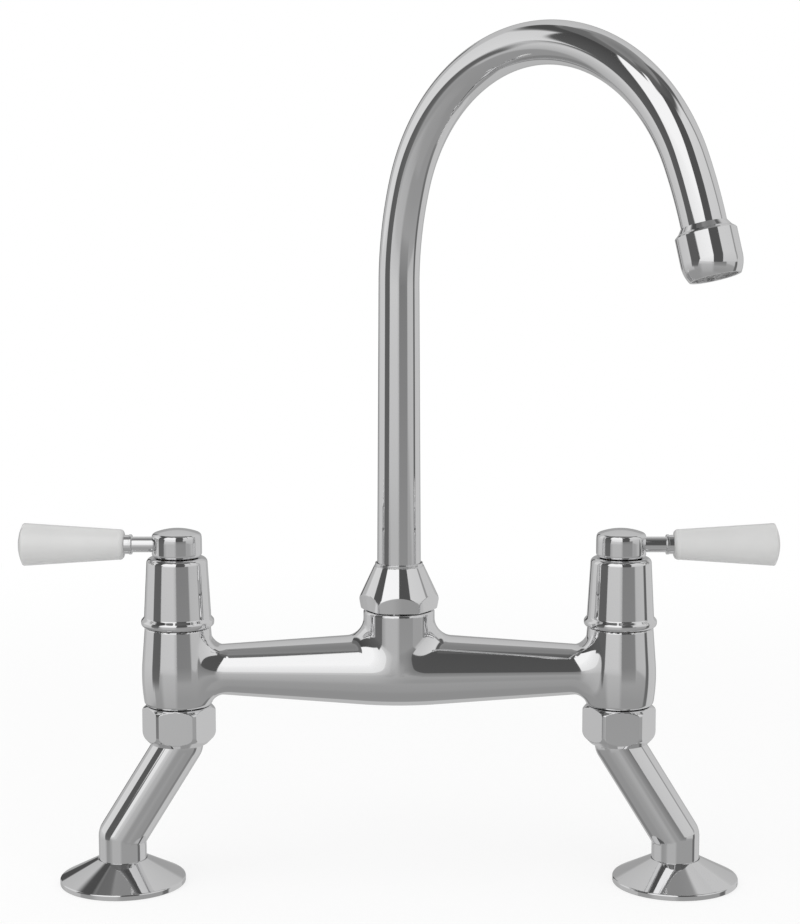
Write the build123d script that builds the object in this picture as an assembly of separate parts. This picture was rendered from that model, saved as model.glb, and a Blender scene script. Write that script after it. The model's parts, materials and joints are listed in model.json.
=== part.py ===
"""Bridge kitchen faucet, built as its separate pieces.

Two valve columns stand on slanted legs and carry a cast bridge between them. The bridge
carries a gooseneck spout that turns, and each valve has a lever with a ceramic grip.

Millimetres. The origin is on the deck, midway between the two feet. +Z is up, +X is to
the right of someone at the sink, and -Y is towards them. Pieces of a valve column are
made about the Z axis with the lever and the foot on the +X side, then placed on both
sides.
"""

import os
from math import cos, radians, sin

from build123d import *

# Overall layout
VALVE_SPACING = 203.0  # eight inches between the valve axes
FOOT_OFFSET = 26.85  # foot axis outside the valve axis
BRIDGE_Z = 100.7  # axis of the bridge tube
LEVER_Z = 158.75  # axis of the levers
RUNNING_GAP = 0.05  # radial gap of parts that turn in each other
FACE_GAP = 0.05  # gap between flat faces of parts that turn on each other
ASSEMBLY_GAP = 0.1  # gap of parts that are put together and stay still
RING_PLAY = 0.03  # gap round the section of an O-ring
OVERRUN = 1.0  # how far a cutting shape sticks out of what it cuts

# Bridge casting
BARREL_BOTTOM_Z = 84.3
BARREL_BELLY_Z = 98.5
BARREL_TAPER_Z = 104.5  # the side is straight from here up
BARREL_TOP_Z = 120.2
BARREL_BOTTOM_RADIUS = 15.75
BARREL_BELLY_RADIUS = 16.65
BARREL_TAPER_RADIUS = 16.4
BARREL_TOP_RADIUS = 15.13
BARREL_EDGE_ROUNDING = 2.3
TUBE_CROWN_RADIUS = 16.7  # radius of the bridge tube at the boss
TUBE_CROWN_BEND = 250.0  # radius of the crown along the tube
TUBE_TAPER = 0.0708  # loss of radius per length towards the barrels
TUBE_BORE_RADIUS = 6.0
BOSS_RADIUS = 16.3
BOSS_TOP_Z = 128.9
BOSS_EDGE_ROUNDING = 1.0
BOSS_BLEND = 8.0  # casting fillet round the boss
BARREL_BLEND = 3.2  # casting fillet round the barrels
UNION_SPIGOT_RADIUS = 13.15
UNION_SPIGOT_BOTTOM_Z = 74.2
SPOUT_THREAD_RADIUS = 14.1
SPOUT_THREAD_TOP_Z = 138.65

# Bores of the casting
INLET_BORE_RADIUS = 6.2
CHAMBER_RADIUS = 9.3
CHAMBER_FLOOR_Z = 91.5
CARTRIDGE_THREAD_Z = 104.0
CARTRIDGE_BORE_RADIUS = 10.4
MIXING_RADIUS = 8.5
MIXING_FLOOR_Z = 93.5
SPIGOT_BORE_RADIUS = 10.6
SPIGOT_BORE_FLOOR_Z = 104.5

# Union nut, washer and leg
UNION_NUT_FLATS = 30.0
UNION_NUT_CORNER_RADIUS = 16.85
UNION_NUT_BOTTOM_Z = 66.3
UNION_NUT_TOP_Z = 83.8
UNION_NUT_LOWER_RADIUS = 13.2  # start of the chamfer under the nut
UNION_NUT_LOWER_CHAMFER = 3.7
UNION_NUT_LOWER_ROUNDING = 4.0
UNION_NUT_UPPER_RADIUS = 14.7
UNION_NUT_UPPER_CHAMFER = 1.8
UNION_NUT_UPPER_ROUNDING = 1.5
UNION_NUT_LIP_HEIGHT = 1.0  # straight part of the hole under the collar
UNION_NUT_RELIEF_RADIUS = 12.9
UNION_NUT_HOLE_RADIUS = 11.35
LEG_RADIUS = 11.0
LEG_BORE_RADIUS = 8.0
LEG_COLLAR_RADIUS = 12.0
LEG_COLLAR_Z = (70.2, 72.65)
LEG_UPPER_BEND_Z = 65.75
LEG_LOWER_BEND_Z = 22.1
WASHER_Z = (72.7, 74.2)
FOOT_RADIUS = 13.5
FOOT_TOP_Z = 7.5
INLET_THREAD_RADIUS = 9.315  # minor radius of a G1/2 thread
INLET_THREAD_DEPTH = 13.0

# Deck flange
FLANGE_RADIUS = 29.0
FLANGE_RIM_HEIGHT = 2.4
FLANGE_RIM_ROUNDING = 0.8
FLANGE_SLOPE = 0.52
FLANGE_HOLE_RADIUS = 11.15
FLANGE_WALL = 1.7
SEAL_RADII = (22.0, 26.3)
SEAL_THICKNESS = 1.5

# Valve cartridge
SLEEVE_RADIUS = 9.2
SLEEVE_BORE_RADIUS = 7.6
CARTRIDGE_HEX_FLATS = 22.0
CARTRIDGE_HEX_TOP_Z = 126.0
NECK_RADIUS = 8.5
NECK_TOP_Z = 152.0
BEARING_RADIUS = 6.0  # spindle bearing with the two O-rings
BEARING_TOP_Z = 117.0
WINDOW_WIDTH = 6.0
WINDOW_HEIGHT = 5.0
DISC_RADIUS = 7.5
PORT_RADIUS = 2.2
PORT_OFFSET = 4.2
DISC_NOTCH_RADIUS = 3.2
DISC_NOTCH_OFFSET = 5.2
FIXED_DISC_Z = (92.6, 96.0)
MOVING_DISC_Z = (96.05, 99.45)
SPINDLE_FOOT_Z = (99.5, 103.5)
SPINDLE_FOOT_RADIUS = 7.3
SHAFT_RADIUS = 4.0
SHAFT_TOP_Z = 161.5
TANG_WIDTH = 2.0
TANG_DEPTH = 1.2
SPINDLE_RING_Z = (107.5, 112.5)
SPINDLE_GROOVE_RADIUS = 4.8
SPINDLE_GROOVE_HEIGHT = 1.6
SNAP_RING_Z = (152.45, 153.25)
SNAP_RING_RADIUS = 5.4
SNAP_GROOVE_RADIUS = 3.4
SPLINE_TEETH = 20
SPLINE_START_Z = 154.6
SPLINE_DEPTH = 0.5

# Shroud
SHROUD_TOP_Z = 152.9
SHROUD_TOP_RADIUS = 13.8
SHROUD_FOOT_RADIUS = 15.6
SHROUD_SHOULDER = 2.4
SHROUD_WALL = 1.4
SHROUD_WEB = 2.5
BEAD_Z = 122.9
BEAD_MIDDLE_RADIUS = 15.15
BEAD_HEIGHT = 3.1
BEAD_DEPTH = 1.5

# Handle
HUB_RADIUS = 11.45
HUB_BOTTOM_Z = 153.1
HUB_TOP_Z = 166.1
HUB_DOME = 28.0  # radius of the domed top
HUB_BOTTOM_ROUNDING = 1.8
HUB_TOP_ROUNDING = 2.2
HUB_RECESS_RADIUS = 7.0
HUB_RECESS_DEPTH = 1.2
LEVER_SOCKET = 3.0  # radius of the hole for the lever
LEVER_SOCKET_START = 5.0
COUNTERSINK_RADIUS = 4.9
COUNTERSINK_DEPTH = 1.2
SCREW_RADIUS = 1.95
SCREW_END = 9.5
SCREW_KEY = 2.0  # across the flats of the socket, and its depth
ROD_RADIUS = 3.55
ROD_START = 10.4
ROD_END = 20.3
FERRULE_RADIUS = 4.6
FERRULE_RING_END = 21.7
FERRULE_ROUNDINGS = (0.5, 0.2)
FERRULE_SLEEVE_RADIUS = 4.35
GRIP_START = 23.9
GRIP_LIP_RADIUS = 5.0
GRIP_NECK_MIDDLE = (6.5, 24.6)  # radius and place of a point on the round neck
GRIP_NECK_RADIUS = 6.95
GRIP_NECK_END = 26.4
GRIP_END_RADIUS = 9.75
GRIP_EDGE_ROUNDING = 0.7
GRIP_DOME_START = 69.8
GRIP_DOME_MIDDLE = (4.875, 71.624)
GRIP_TIP = 72.2
TANG_RADIUS = 2.5
TANG_END = 42.0

# Spout
SPOUT_AZIMUTH = -45.0  # rest position of the spout, seen from above
SPOUT_TUBE_RADIUS = 9.2
SPOUT_BASE_RADIUS = 10.0
SPOUT_BORE_RADIUS = 8.1
SPOUT_BASE_Z = 141.5
SPOUT_STRAIGHT_TOP_Z = 276.9
SPOUT_ARCS = ((155.8, 17.0), (82.1, 139.4), (212.9, 7.2))  # radius, degrees
SPOUT_END_STRAIGHT = 4.0
SPIGOT_COLLAR_RADIUS = 12.6
SPIGOT_COLLAR_Z = (138.7, 141.5)
SPIGOT_BOTTOM_Z = 106.0
SPIGOT_GROOVE_RADIUS = 8.55
SPIGOT_GROOVE_HEIGHT = 2.4
SPIGOT_RING_Z = (113.0, 121.0)
SLIDE_RING_TOP_Z = 143.0
SLIDE_RING_RADIUS = 13.1

# Spout nut
SPOUT_NUT_BOTTOM_Z = 129.3
SPOUT_NUT_TOP_Z = 150.6
SPOUT_NUT_RADIUS = 18.15
SPOUT_NUT_BOTTOM_ROUNDING = 1.4
SPOUT_NUT_SHOULDER_Z = 134.6
SPOUT_NUT_SHOULDER_ROUNDING = 5.0
SPOUT_NUT_NECK_RADIUS = 11.3
SPOUT_NUT_LIP_RADIUS = 10.85
SPOUT_NUT_LIP_HEIGHT = 1.3
SPOUT_NUT_LIP_ROUNDING = 0.2
SPOUT_NUT_HOLE_RADIUS = 10.35
SPOUT_NUT_CAVITY_RADIUS = 13.2
SPOUT_NUT_CORNER_RADIUS = 17.45  # between two facets, at the bottom
SPOUT_NUT_CORNER_LEAN = 0.207  # growth of that radius per height
SPOUT_NUT_FACET_BULGE = 0.5  # height of the slightly curved facets

# Spout end, measured along its axis from the end of the last bend
END_COLLAR_RADIUS = 10.9
END_COLLAR_FOOT_RADIUS = 9.4
END_COLLAR_BORE_RADIUS = 8.6
END_COLLAR_LENGTH = 10.0
HOUSING_START = 2.2
HOUSING_LENGTH = 21.3
HOUSING_RADIUS = 12.4
HOUSING_MOUTH_RADIUS = 10.4
HOUSING_RIM = ((12.4, 3.5), (12.0, 3.0))  # rounded edge towards the tube
HOUSING_TAPER_START = 14.3
HOUSING_TAPER_BULGE = 0.5
HOUSING_LIP_RADIUS = 9.2
HOUSING_CAVITY_RADIUS = 10.6
HOUSING_LIP_START = 19.0
SCREEN_TOP = 12.0
INSERT_TOP = 13.5
INSERT_FACE = 20.3
INSERT_WALL = 1.2
INSERT_PLATE = 1.5
INSERT_HOLE_RADIUS = 0.6
INSERT_HOLE_CIRCLES = ((3.0, 6), (6.0, 12))  # radius and number of holes
AERATOR_SEAL_BORE_RADIUS = 8.7


def turned(*corners):
    """Turn a closed outline about the Z axis.

    Each corner is (radius, height) or (radius, height, rounding).
    """
    points = [(corner[0], 0, corner[1]) for corner in corners]
    rounding = [corner[2] if len(corner) == 3 else 0 for corner in corners]
    outline = FilletPolyline(*points, radius=rounding, close=True)
    return revolve(make_face(outline), Axis.Z, 360)


def bar(radius, low, high):
    """Make a plain round bar along the Z axis."""
    base = (Align.CENTER, Align.CENTER, Align.MIN)
    return Pos(0, 0, low) * Cylinder(radius, high - low, align=base)


def ring(inner, outer, low, high):
    """Make a plain ring or washer round the Z axis."""
    return bar(outer, low, high) - bar(inner, low, high)


def hexagon(across_flats, low, high):
    """Make a six-sided bar along the Z axis with flats to the front and the back."""
    outline = RegularPolygon(across_flats / 2, 6, major_radius=False)
    return Pos(0, 0, low) * extrude(outline, high - low)


def rims(shape):
    """List the closed circular edges of a turned shape, lowest first."""
    return shape.edges().filter_by(lambda edge: edge.is_closed).sort_by(Axis.Z)


def along_x(shape):
    """Lay a shape made along the Z axis down along +X at the height of the levers."""
    return Pos(0, 0, LEVER_Z) * Rot(0, 90, 0) * shape


# Bridge casting -----------------------------------------------------------------------


def bridge_tube():
    """Make the horizontal tube of the casting, thickest in the middle."""
    half = VALVE_SPACING / 2
    crown_end = TUBE_CROWN_BEND * TUBE_TAPER
    crown_end_radius = TUBE_CROWN_RADIUS - crown_end * TUBE_TAPER / 2
    end_radius = crown_end_radius - (half - crown_end) * TUBE_TAPER
    crown = ThreePointArc(
        (-crown_end, 0, -crown_end_radius),
        (0, 0, -TUBE_CROWN_RADIUS),
        (crown_end, 0, -crown_end_radius),
    )
    rest = Polyline(
        (crown_end, 0, -crown_end_radius),
        (half, 0, -end_radius),
        (half, 0, 0),
        (-half, 0, 0),
        (-half, 0, -end_radius),
        (-crown_end, 0, -crown_end_radius),
    )
    return Pos(0, 0, BRIDGE_Z) * revolve(make_face(crown + rest), Axis.X, 360)


def barrel():
    """Make one valve barrel: bellied below, tapered above, with a round lower edge."""
    edge = BARREL_EDGE_ROUNDING
    inset = edge * (1 - sin(radians(45)))
    shoulder_z = BARREL_BOTTOM_Z + edge
    belly = ThreePointArc(
        (BARREL_BOTTOM_RADIUS, 0, shoulder_z),
        (BARREL_BELLY_RADIUS, 0, BARREL_BELLY_Z),
        (BARREL_TAPER_RADIUS, 0, BARREL_TAPER_Z),
    )
    rest = Polyline(
        (BARREL_TAPER_RADIUS, 0, BARREL_TAPER_Z),
        (BARREL_TOP_RADIUS, 0, BARREL_TOP_Z),
        (0, 0, BARREL_TOP_Z),
        (0, 0, BARREL_BOTTOM_Z),
        (BARREL_BOTTOM_RADIUS - edge, 0, BARREL_BOTTOM_Z),
    )
    corner = ThreePointArc(
        (BARREL_BOTTOM_RADIUS - edge, 0, BARREL_BOTTOM_Z),
        (BARREL_BOTTOM_RADIUS - inset, 0, BARREL_BOTTOM_Z + inset),
        (BARREL_BOTTOM_RADIUS, 0, shoulder_z),
    )
    seam_at_back = Rot(0, 0, 90)
    return seam_at_back * revolve(make_face(belly + rest + corner), Axis.Z, 360)


def on_both_axes(shape):
    """Place a copy of a shape on each valve axis."""
    half = VALVE_SPACING / 2
    return Pos(-half, 0, 0) * shape + Pos(half, 0, 0) * shape


def crossing_edges(body):
    """Find the free-form edges where a column meets the bridge tube."""
    return body.edges().filter_by(GeomType.BSPLINE)


def bridge_bores():
    """Make the hollow inside of the casting, to be cut away."""
    half = VALVE_SPACING / 2
    valve = bar(CARTRIDGE_BORE_RADIUS, CARTRIDGE_THREAD_Z, BARREL_TOP_Z)
    valve += bar(CHAMBER_RADIUS, CHAMBER_FLOOR_Z, CARTRIDGE_THREAD_Z)
    valve += bar(INLET_BORE_RADIUS, UNION_SPIGOT_BOTTOM_Z, CHAMBER_FLOOR_Z)
    spout = bar(SPIGOT_BORE_RADIUS, SPIGOT_BORE_FLOOR_Z, SPOUT_THREAD_TOP_Z)
    spout += bar(MIXING_RADIUS, MIXING_FLOOR_Z, SPIGOT_BORE_FLOOR_Z)
    cross = Pos(0, 0, BRIDGE_Z) * Rot(0, 90, 0) * bar(TUBE_BORE_RADIUS, -half, half)
    return on_both_axes(valve) + spout + cross


def bridge_body():
    """Make the casting: barrels, tube and boss in one, with its threads and bores."""
    boss = Rot(0, 0, 90) * bar(BOSS_RADIUS, BRIDGE_Z, BOSS_TOP_Z)
    boss = fillet(boss.edges().group_by(Axis.Z)[-1], BOSS_EDGE_ROUNDING)
    body = bridge_tube() + boss
    body = fillet(crossing_edges(body), BOSS_BLEND)
    body = body + on_both_axes(barrel())
    beside_barrels = VALVE_SPACING / 2 - 2 * BARREL_BELLY_RADIUS
    edges = crossing_edges(body).filter_by(lambda e: abs(e.center().X) > beside_barrels)
    body = fillet(edges, BARREL_BLEND)
    body += on_both_axes(bar(UNION_SPIGOT_RADIUS, UNION_SPIGOT_BOTTOM_Z, BARREL_BOTTOM_Z))
    body += bar(SPOUT_THREAD_RADIUS, BOSS_TOP_Z, SPOUT_THREAD_TOP_Z)
    return body - bridge_bores()


# Union, leg and flange ----------------------------------------------------------------


def union_nut():
    """Make the union nut, open below to let the slanted leg swing round."""
    bore = UNION_SPIGOT_RADIUS + RUNNING_GAP
    lip_z = LEG_COLLAR_Z[0] - FACE_GAP
    lower_z = UNION_NUT_BOTTOM_Z + UNION_NUT_LOWER_CHAMFER
    upper_z = UNION_NUT_TOP_Z - UNION_NUT_UPPER_CHAMFER
    outside = hexagon(UNION_NUT_FLATS, UNION_NUT_BOTTOM_Z, UNION_NUT_TOP_Z)
    outside &= turned(
        (0, UNION_NUT_BOTTOM_Z),
        (UNION_NUT_LOWER_RADIUS, UNION_NUT_BOTTOM_Z),
        (UNION_NUT_CORNER_RADIUS, lower_z, UNION_NUT_LOWER_ROUNDING),
        (UNION_NUT_CORNER_RADIUS, upper_z, UNION_NUT_UPPER_ROUNDING),
        (UNION_NUT_UPPER_RADIUS, UNION_NUT_TOP_Z),
        (0, UNION_NUT_TOP_Z),
    )
    inside = turned(
        (0, UNION_NUT_BOTTOM_Z),
        (UNION_NUT_RELIEF_RADIUS, UNION_NUT_BOTTOM_Z),
        (UNION_NUT_HOLE_RADIUS, lip_z - UNION_NUT_LIP_HEIGHT),
        (UNION_NUT_HOLE_RADIUS, lip_z),
        (bore, lip_z),
        (bore, UNION_NUT_TOP_Z),
        (0, UNION_NUT_TOP_Z),
    )
    return outside - inside


def union_washer():
    """Make the flat washer between the leg and the casting."""
    return ring(LEG_BORE_RADIUS, UNION_SPIGOT_RADIUS - ASSEMBLY_GAP, *WASHER_Z)


def bent_bar(radius, low, high):
    """Make a round bar along the leg's axis: upright, slanted out, upright again."""
    run = LEG_UPPER_BEND_Z - LEG_LOWER_BEND_Z
    lean = Plane(origin=(0, 0, LEG_UPPER_BEND_Z), z_dir=(FOOT_OFFSET, 0, -run))
    length = (FOOT_OFFSET**2 + run**2) ** 0.5
    upright = Rot(0, 0, 90) * bar(radius, LEG_UPPER_BEND_Z, high)
    slanted = lean.location * bar(radius, 0, length)
    foot = Rot(0, 0, 90) * bar(radius, low, LEG_LOWER_BEND_Z)
    upper_bend = Sphere(radius, arc_size1=-90, arc_size2=0)
    lower_bend = Sphere(radius, arc_size1=0, arc_size2=90)
    upper = upright + Pos(0, 0, LEG_UPPER_BEND_Z) * upper_bend
    lower = Pos(FOOT_OFFSET, 0, 0) * (foot + Pos(0, 0, LEG_LOWER_BEND_Z) * lower_bend)
    return upper + slanted + lower


def leg():
    """Make the leg: bent tube with the union collar on top and the threaded foot."""
    body = bent_bar(LEG_RADIUS, 0, LEG_COLLAR_Z[1])
    body += ring(LEG_BORE_RADIUS, LEG_COLLAR_RADIUS, *LEG_COLLAR_Z)
    body += Pos(FOOT_OFFSET, 0, 0) * bar(FOOT_RADIUS, 0, FOOT_TOP_Z)
    body -= bent_bar(LEG_BORE_RADIUS, 0, LEG_COLLAR_Z[1])
    socket = bar(INLET_THREAD_RADIUS, 0, INLET_THREAD_DEPTH)
    return body - Pos(FOOT_OFFSET, 0, 0) * socket


def flange():
    """Make the hollow conical cover plate round the foot."""
    top_z = FLANGE_RIM_HEIGHT + FLANGE_SLOPE * (FLANGE_RADIUS - FLANGE_HOLE_RADIUS)
    inner_radius = FLANGE_RADIUS - FLANGE_WALL
    drop = FLANGE_WALL * (1 + FLANGE_SLOPE**2) ** 0.5
    inner_rim_z = FLANGE_RIM_HEIGHT + FLANGE_SLOPE * FLANGE_WALL - drop
    cover = turned(
        (inner_radius, 0),
        (FLANGE_RADIUS, 0),
        (FLANGE_RADIUS, FLANGE_RIM_HEIGHT, FLANGE_RIM_ROUNDING),
        (FLANGE_HOLE_RADIUS, top_z),
        (FLANGE_HOLE_RADIUS, top_z - drop),
        (inner_radius, inner_rim_z),
    )
    return Pos(FOOT_OFFSET, 0, 0) * cover


def flange_seal():
    """Make the flat ring that seals the flange to the deck."""
    return Pos(FOOT_OFFSET, 0, 0) * ring(*SEAL_RADII, 0, SEAL_THICKNESS)


# Valve cartridge ----------------------------------------------------------------------


def cartridge_body():
    """Make the screwed cartridge body with its windows, hexagon and neck."""
    body = bar(SLEEVE_RADIUS, CHAMBER_FLOOR_Z + FACE_GAP, CARTRIDGE_THREAD_Z)
    body += bar(CARTRIDGE_BORE_RADIUS - ASSEMBLY_GAP, CARTRIDGE_THREAD_Z, BARREL_TOP_Z)
    body += hexagon(CARTRIDGE_HEX_FLATS, BARREL_TOP_Z, CARTRIDGE_HEX_TOP_Z)
    body += bar(NECK_RADIUS, CARTRIDGE_HEX_TOP_Z, NECK_TOP_Z)
    body -= bar(SLEEVE_BORE_RADIUS, CHAMBER_FLOOR_Z, CARTRIDGE_THREAD_Z)
    body -= bar(BEARING_RADIUS + RUNNING_GAP, CARTRIDGE_THREAD_Z, BEARING_TOP_Z)
    body -= bar(SHAFT_RADIUS + RUNNING_GAP, BEARING_TOP_Z, NECK_TOP_Z)
    window = Pos(0, 0, BRIDGE_Z) * Box(WINDOW_WIDTH, 3 * SLEEVE_RADIUS, WINDOW_HEIGHT)
    for quarter in range(2):
        body -= Rot(0, 0, 90 * quarter) * window
    return body


def seat_seal():
    """Make the rubber ring that presses the fixed disc up."""
    return ring(INLET_BORE_RADIUS, DISC_RADIUS, CHAMBER_FLOOR_Z, FIXED_DISC_Z[0])


def fixed_disc():
    """Make the ceramic disc with the two ports."""
    disc = bar(DISC_RADIUS, *FIXED_DISC_Z)
    for side in (-1, 1):
        disc -= Pos(0, side * PORT_OFFSET, 0) * bar(PORT_RADIUS, *FIXED_DISC_Z)
    return disc


def moving_disc():
    """Make the ceramic disc that opens and covers the ports, slotted on top."""
    disc = bar(SPINDLE_FOOT_RADIUS, *MOVING_DISC_Z)
    for side in (-1, 1):
        notch = bar(DISC_NOTCH_RADIUS, *MOVING_DISC_Z)
        disc -= Pos(side * DISC_NOTCH_OFFSET, 0, 0) * notch
    slot = Box(3 * DISC_RADIUS, TANG_WIDTH + 2 * ASSEMBLY_GAP, 2 * TANG_DEPTH)
    return disc - Pos(0, 0, MOVING_DISC_Z[1]) * slot


def spindle():
    """Make the valve spindle: driving tang, foot, O-ring bearing and splined shaft."""
    body = bar(SPINDLE_FOOT_RADIUS, *SPINDLE_FOOT_Z)
    body += bar(BEARING_RADIUS, SPINDLE_FOOT_Z[1], BEARING_TOP_Z - FACE_GAP)
    body += bar(SHAFT_RADIUS, BEARING_TOP_Z - FACE_GAP, SHAFT_TOP_Z)
    tang = Box(2 * PORT_OFFSET, TANG_WIDTH, TANG_DEPTH)
    body += Pos(0, 0, SPINDLE_FOOT_Z[0] - TANG_DEPTH / 2) * tang
    for middle in SPINDLE_RING_Z:
        groove = (middle - SPINDLE_GROOVE_HEIGHT / 2, middle + SPINDLE_GROOVE_HEIGHT / 2)
        body -= ring(SPINDLE_GROOVE_RADIUS, 2 * BEARING_RADIUS, *groove)
    groove = (SNAP_RING_Z[0] - FACE_GAP, SNAP_RING_Z[1] + FACE_GAP)
    body -= ring(SNAP_GROOVE_RADIUS, 2 * SHAFT_RADIUS, *groove)
    spline_length = SHAFT_TOP_Z - SPLINE_START_Z
    cutter = Rot(0, 0, 45) * Box(SPLINE_DEPTH, SPLINE_DEPTH, spline_length)
    for tooth in range(SPLINE_TEETH):
        place = Rot(0, 0, tooth * 360 / SPLINE_TEETH) * Pos(SHAFT_RADIUS, 0, 0)
        body -= place * Pos(0, 0, SHAFT_TOP_Z - spline_length / 2) * cutter
    return body


def spindle_o_rings():
    """Make the two O-rings of the spindle."""
    section = (BEARING_RADIUS - SPINDLE_GROOVE_RADIUS) / 2 - RING_PLAY
    middle_radius = BEARING_RADIUS - section - RING_PLAY
    rings = [Pos(0, 0, z) * Torus(middle_radius, section) for z in SPINDLE_RING_Z]
    return Compound(rings)


def snap_ring():
    """Make the open snap ring that holds the spindle up against the neck."""
    whole = ring(SNAP_GROOVE_RADIUS + RUNNING_GAP, SNAP_RING_RADIUS, *SNAP_RING_Z)
    opening = Box(SNAP_RING_RADIUS, 2 * SNAP_RING_RADIUS, SNAP_RING_RADIUS)
    return whole - Pos(0, SNAP_RING_RADIUS, SNAP_RING_Z[0]) * opening


def shroud():
    """Make the tapered cover of the cartridge with the bead round its foot."""
    web_z = SHROUD_TOP_Z - SHROUD_WEB
    taper = (SHROUD_FOOT_RADIUS - SHROUD_TOP_RADIUS) / (SHROUD_TOP_Z - BARREL_TOP_Z)
    inner_top = SHROUD_TOP_RADIUS + SHROUD_WEB * taper - SHROUD_WALL
    cover = turned(
        (NECK_RADIUS + RUNNING_GAP, web_z),
        (inner_top, web_z),
        (SHROUD_FOOT_RADIUS - SHROUD_WALL, BARREL_TOP_Z),
        (SHROUD_FOOT_RADIUS, BARREL_TOP_Z),
        (SHROUD_TOP_RADIUS, SHROUD_TOP_Z, SHROUD_SHOULDER),
        (NECK_RADIUS + RUNNING_GAP, SHROUD_TOP_Z),
    )
    section = Plane.XZ * Pos(BEAD_MIDDLE_RADIUS, BEAD_Z) * Ellipse(BEAD_DEPTH, BEAD_HEIGHT)
    below = Rectangle(4 * BEAD_MIDDLE_RADIUS, 4 * BEAD_HEIGHT)
    section -= Plane.XZ * Pos(0, BARREL_TOP_Z - 2 * BEAD_HEIGHT) * below
    return cover + revolve(section, Axis.Z, 360)


# Handle -------------------------------------------------------------------------------


def handle_hub():
    """Make the domed knob on the spindle, with the lever socket and the screw hole."""
    knob = bar(HUB_RADIUS, HUB_BOTTOM_Z, HUB_TOP_Z)
    knob &= Pos(0, 0, HUB_TOP_Z - HUB_DOME) * Sphere(HUB_DOME)
    knob = fillet(rims(knob)[0], HUB_BOTTOM_ROUNDING)
    knob = Rot(0, 0, 90) * fillet(rims(knob)[-1], HUB_TOP_ROUNDING)
    knob -= bar(HUB_RECESS_RADIUS, HUB_BOTTOM_Z, HUB_BOTTOM_Z + HUB_RECESS_DEPTH)
    knob -= bar(SHAFT_RADIUS + RUNNING_GAP, HUB_BOTTOM_Z, SHAFT_TOP_Z + ASSEMBLY_GAP)
    knob -= along_x(bar(LEVER_SOCKET, LEVER_SOCKET_START, HUB_RADIUS + OVERRUN))
    knob -= along_x(
        turned(
            (0, ROD_START),
            (ROD_RADIUS + RUNNING_GAP, ROD_START),
            (COUNTERSINK_RADIUS, ROD_START + COUNTERSINK_DEPTH),
            (0, ROD_START + COUNTERSINK_DEPTH),
        )
    )
    screw_hole = bar(SCREW_RADIUS + RUNNING_GAP, 0, HUB_RADIUS + OVERRUN)
    return knob - Pos(0, 0, LEVER_Z) * Rot(-90, 0, 0) * screw_hole


def hub_screw():
    """Make the grub screw that locks the hub, in from the back."""
    screw = bar(SCREW_RADIUS, SHAFT_RADIUS + ASSEMBLY_GAP, SCREW_END)
    screw -= hexagon(SCREW_KEY, SCREW_END - SCREW_KEY, SCREW_END)
    return Pos(0, 0, LEVER_Z) * Rot(-90, 0, 0) * screw


def handle_rod():
    """Make the lever rod with its stub in the hub and its tang in the grip."""
    start = LEVER_SOCKET_START + ASSEMBLY_GAP
    rod = turned(
        (0, start),
        (LEVER_SOCKET - RUNNING_GAP, start),
        (LEVER_SOCKET - RUNNING_GAP, ROD_START),
        (ROD_RADIUS, ROD_START),
        (ROD_RADIUS, ROD_END),
        (TANG_RADIUS, ROD_END),
        (TANG_RADIUS, TANG_END),
        (0, TANG_END),
    )
    return along_x(rod)


def ferrule():
    """Make the ferrule between the rod and the grip, a round ring and a sleeve."""
    inner = TANG_RADIUS + RUNNING_GAP
    body = turned(
        (inner, ROD_END),
        (FERRULE_RADIUS, ROD_END, FERRULE_ROUNDINGS[0]),
        (FERRULE_RADIUS, FERRULE_RING_END, FERRULE_ROUNDINGS[1]),
        (FERRULE_SLEEVE_RADIUS, FERRULE_RING_END),
        (FERRULE_SLEEVE_RADIUS, GRIP_START),
        (inner, GRIP_START),
    )
    return along_x(body)


def grip():
    """Make the ceramic grip: a rounded neck, a long taper and a domed end."""
    neck = ThreePointArc(
        (GRIP_LIP_RADIUS, 0, GRIP_START),
        (GRIP_NECK_MIDDLE[0], 0, GRIP_NECK_MIDDLE[1]),
        (GRIP_NECK_RADIUS, 0, GRIP_NECK_END),
    )
    taper = Line((GRIP_NECK_RADIUS, 0, GRIP_NECK_END), (GRIP_END_RADIUS, 0, GRIP_DOME_START))
    dome = ThreePointArc(
        (GRIP_END_RADIUS, 0, GRIP_DOME_START),
        (GRIP_DOME_MIDDLE[0], 0, GRIP_DOME_MIDDLE[1]),
        (0, 0, GRIP_TIP),
    )
    middle = Polyline((0, 0, GRIP_TIP), (0, 0, GRIP_START), (GRIP_LIP_RADIUS, 0, GRIP_START))
    body = revolve(make_face(neck + taper + dome + middle), Axis.Z, 360)
    body = fillet(rims(body)[-1], GRIP_EDGE_ROUNDING)
    body -= bar(TANG_RADIUS + RUNNING_GAP, GRIP_START, TANG_END + OVERRUN)
    return along_x(body)


# Spout --------------------------------------------------------------------------------


def spout_path():
    """Draw the middle line of the gooseneck, in the XZ plane, from the top of its
    straight part to just past the last bend."""
    path = []
    point, heading = Vector(0, SPOUT_STRAIGHT_TOP_Z), Vector(0, 1)
    for radius, angle in SPOUT_ARCS:
        arc = JernArc(point, heading, radius, -angle)
        path.append(arc)
        point, heading = arc @ 1, arc % 1
    path.append(Line(point, point + heading * SPOUT_END_STRAIGHT))
    return path


def swung(shape):
    """Turn something made in the XZ plane to the rest position of the spout."""
    return Rot(0, 0, SPOUT_AZIMUTH) * shape


def at_spout_end(shape):
    """Move a shape made along the Z axis to the spout end, pointing out of its mouth."""
    end = Plane.XZ * spout_path()[-1]
    place = Plane(origin=end @ 0, x_dir=(0, 1, 0), z_dir=end % 0)
    return swung(place.location * shape)


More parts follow.
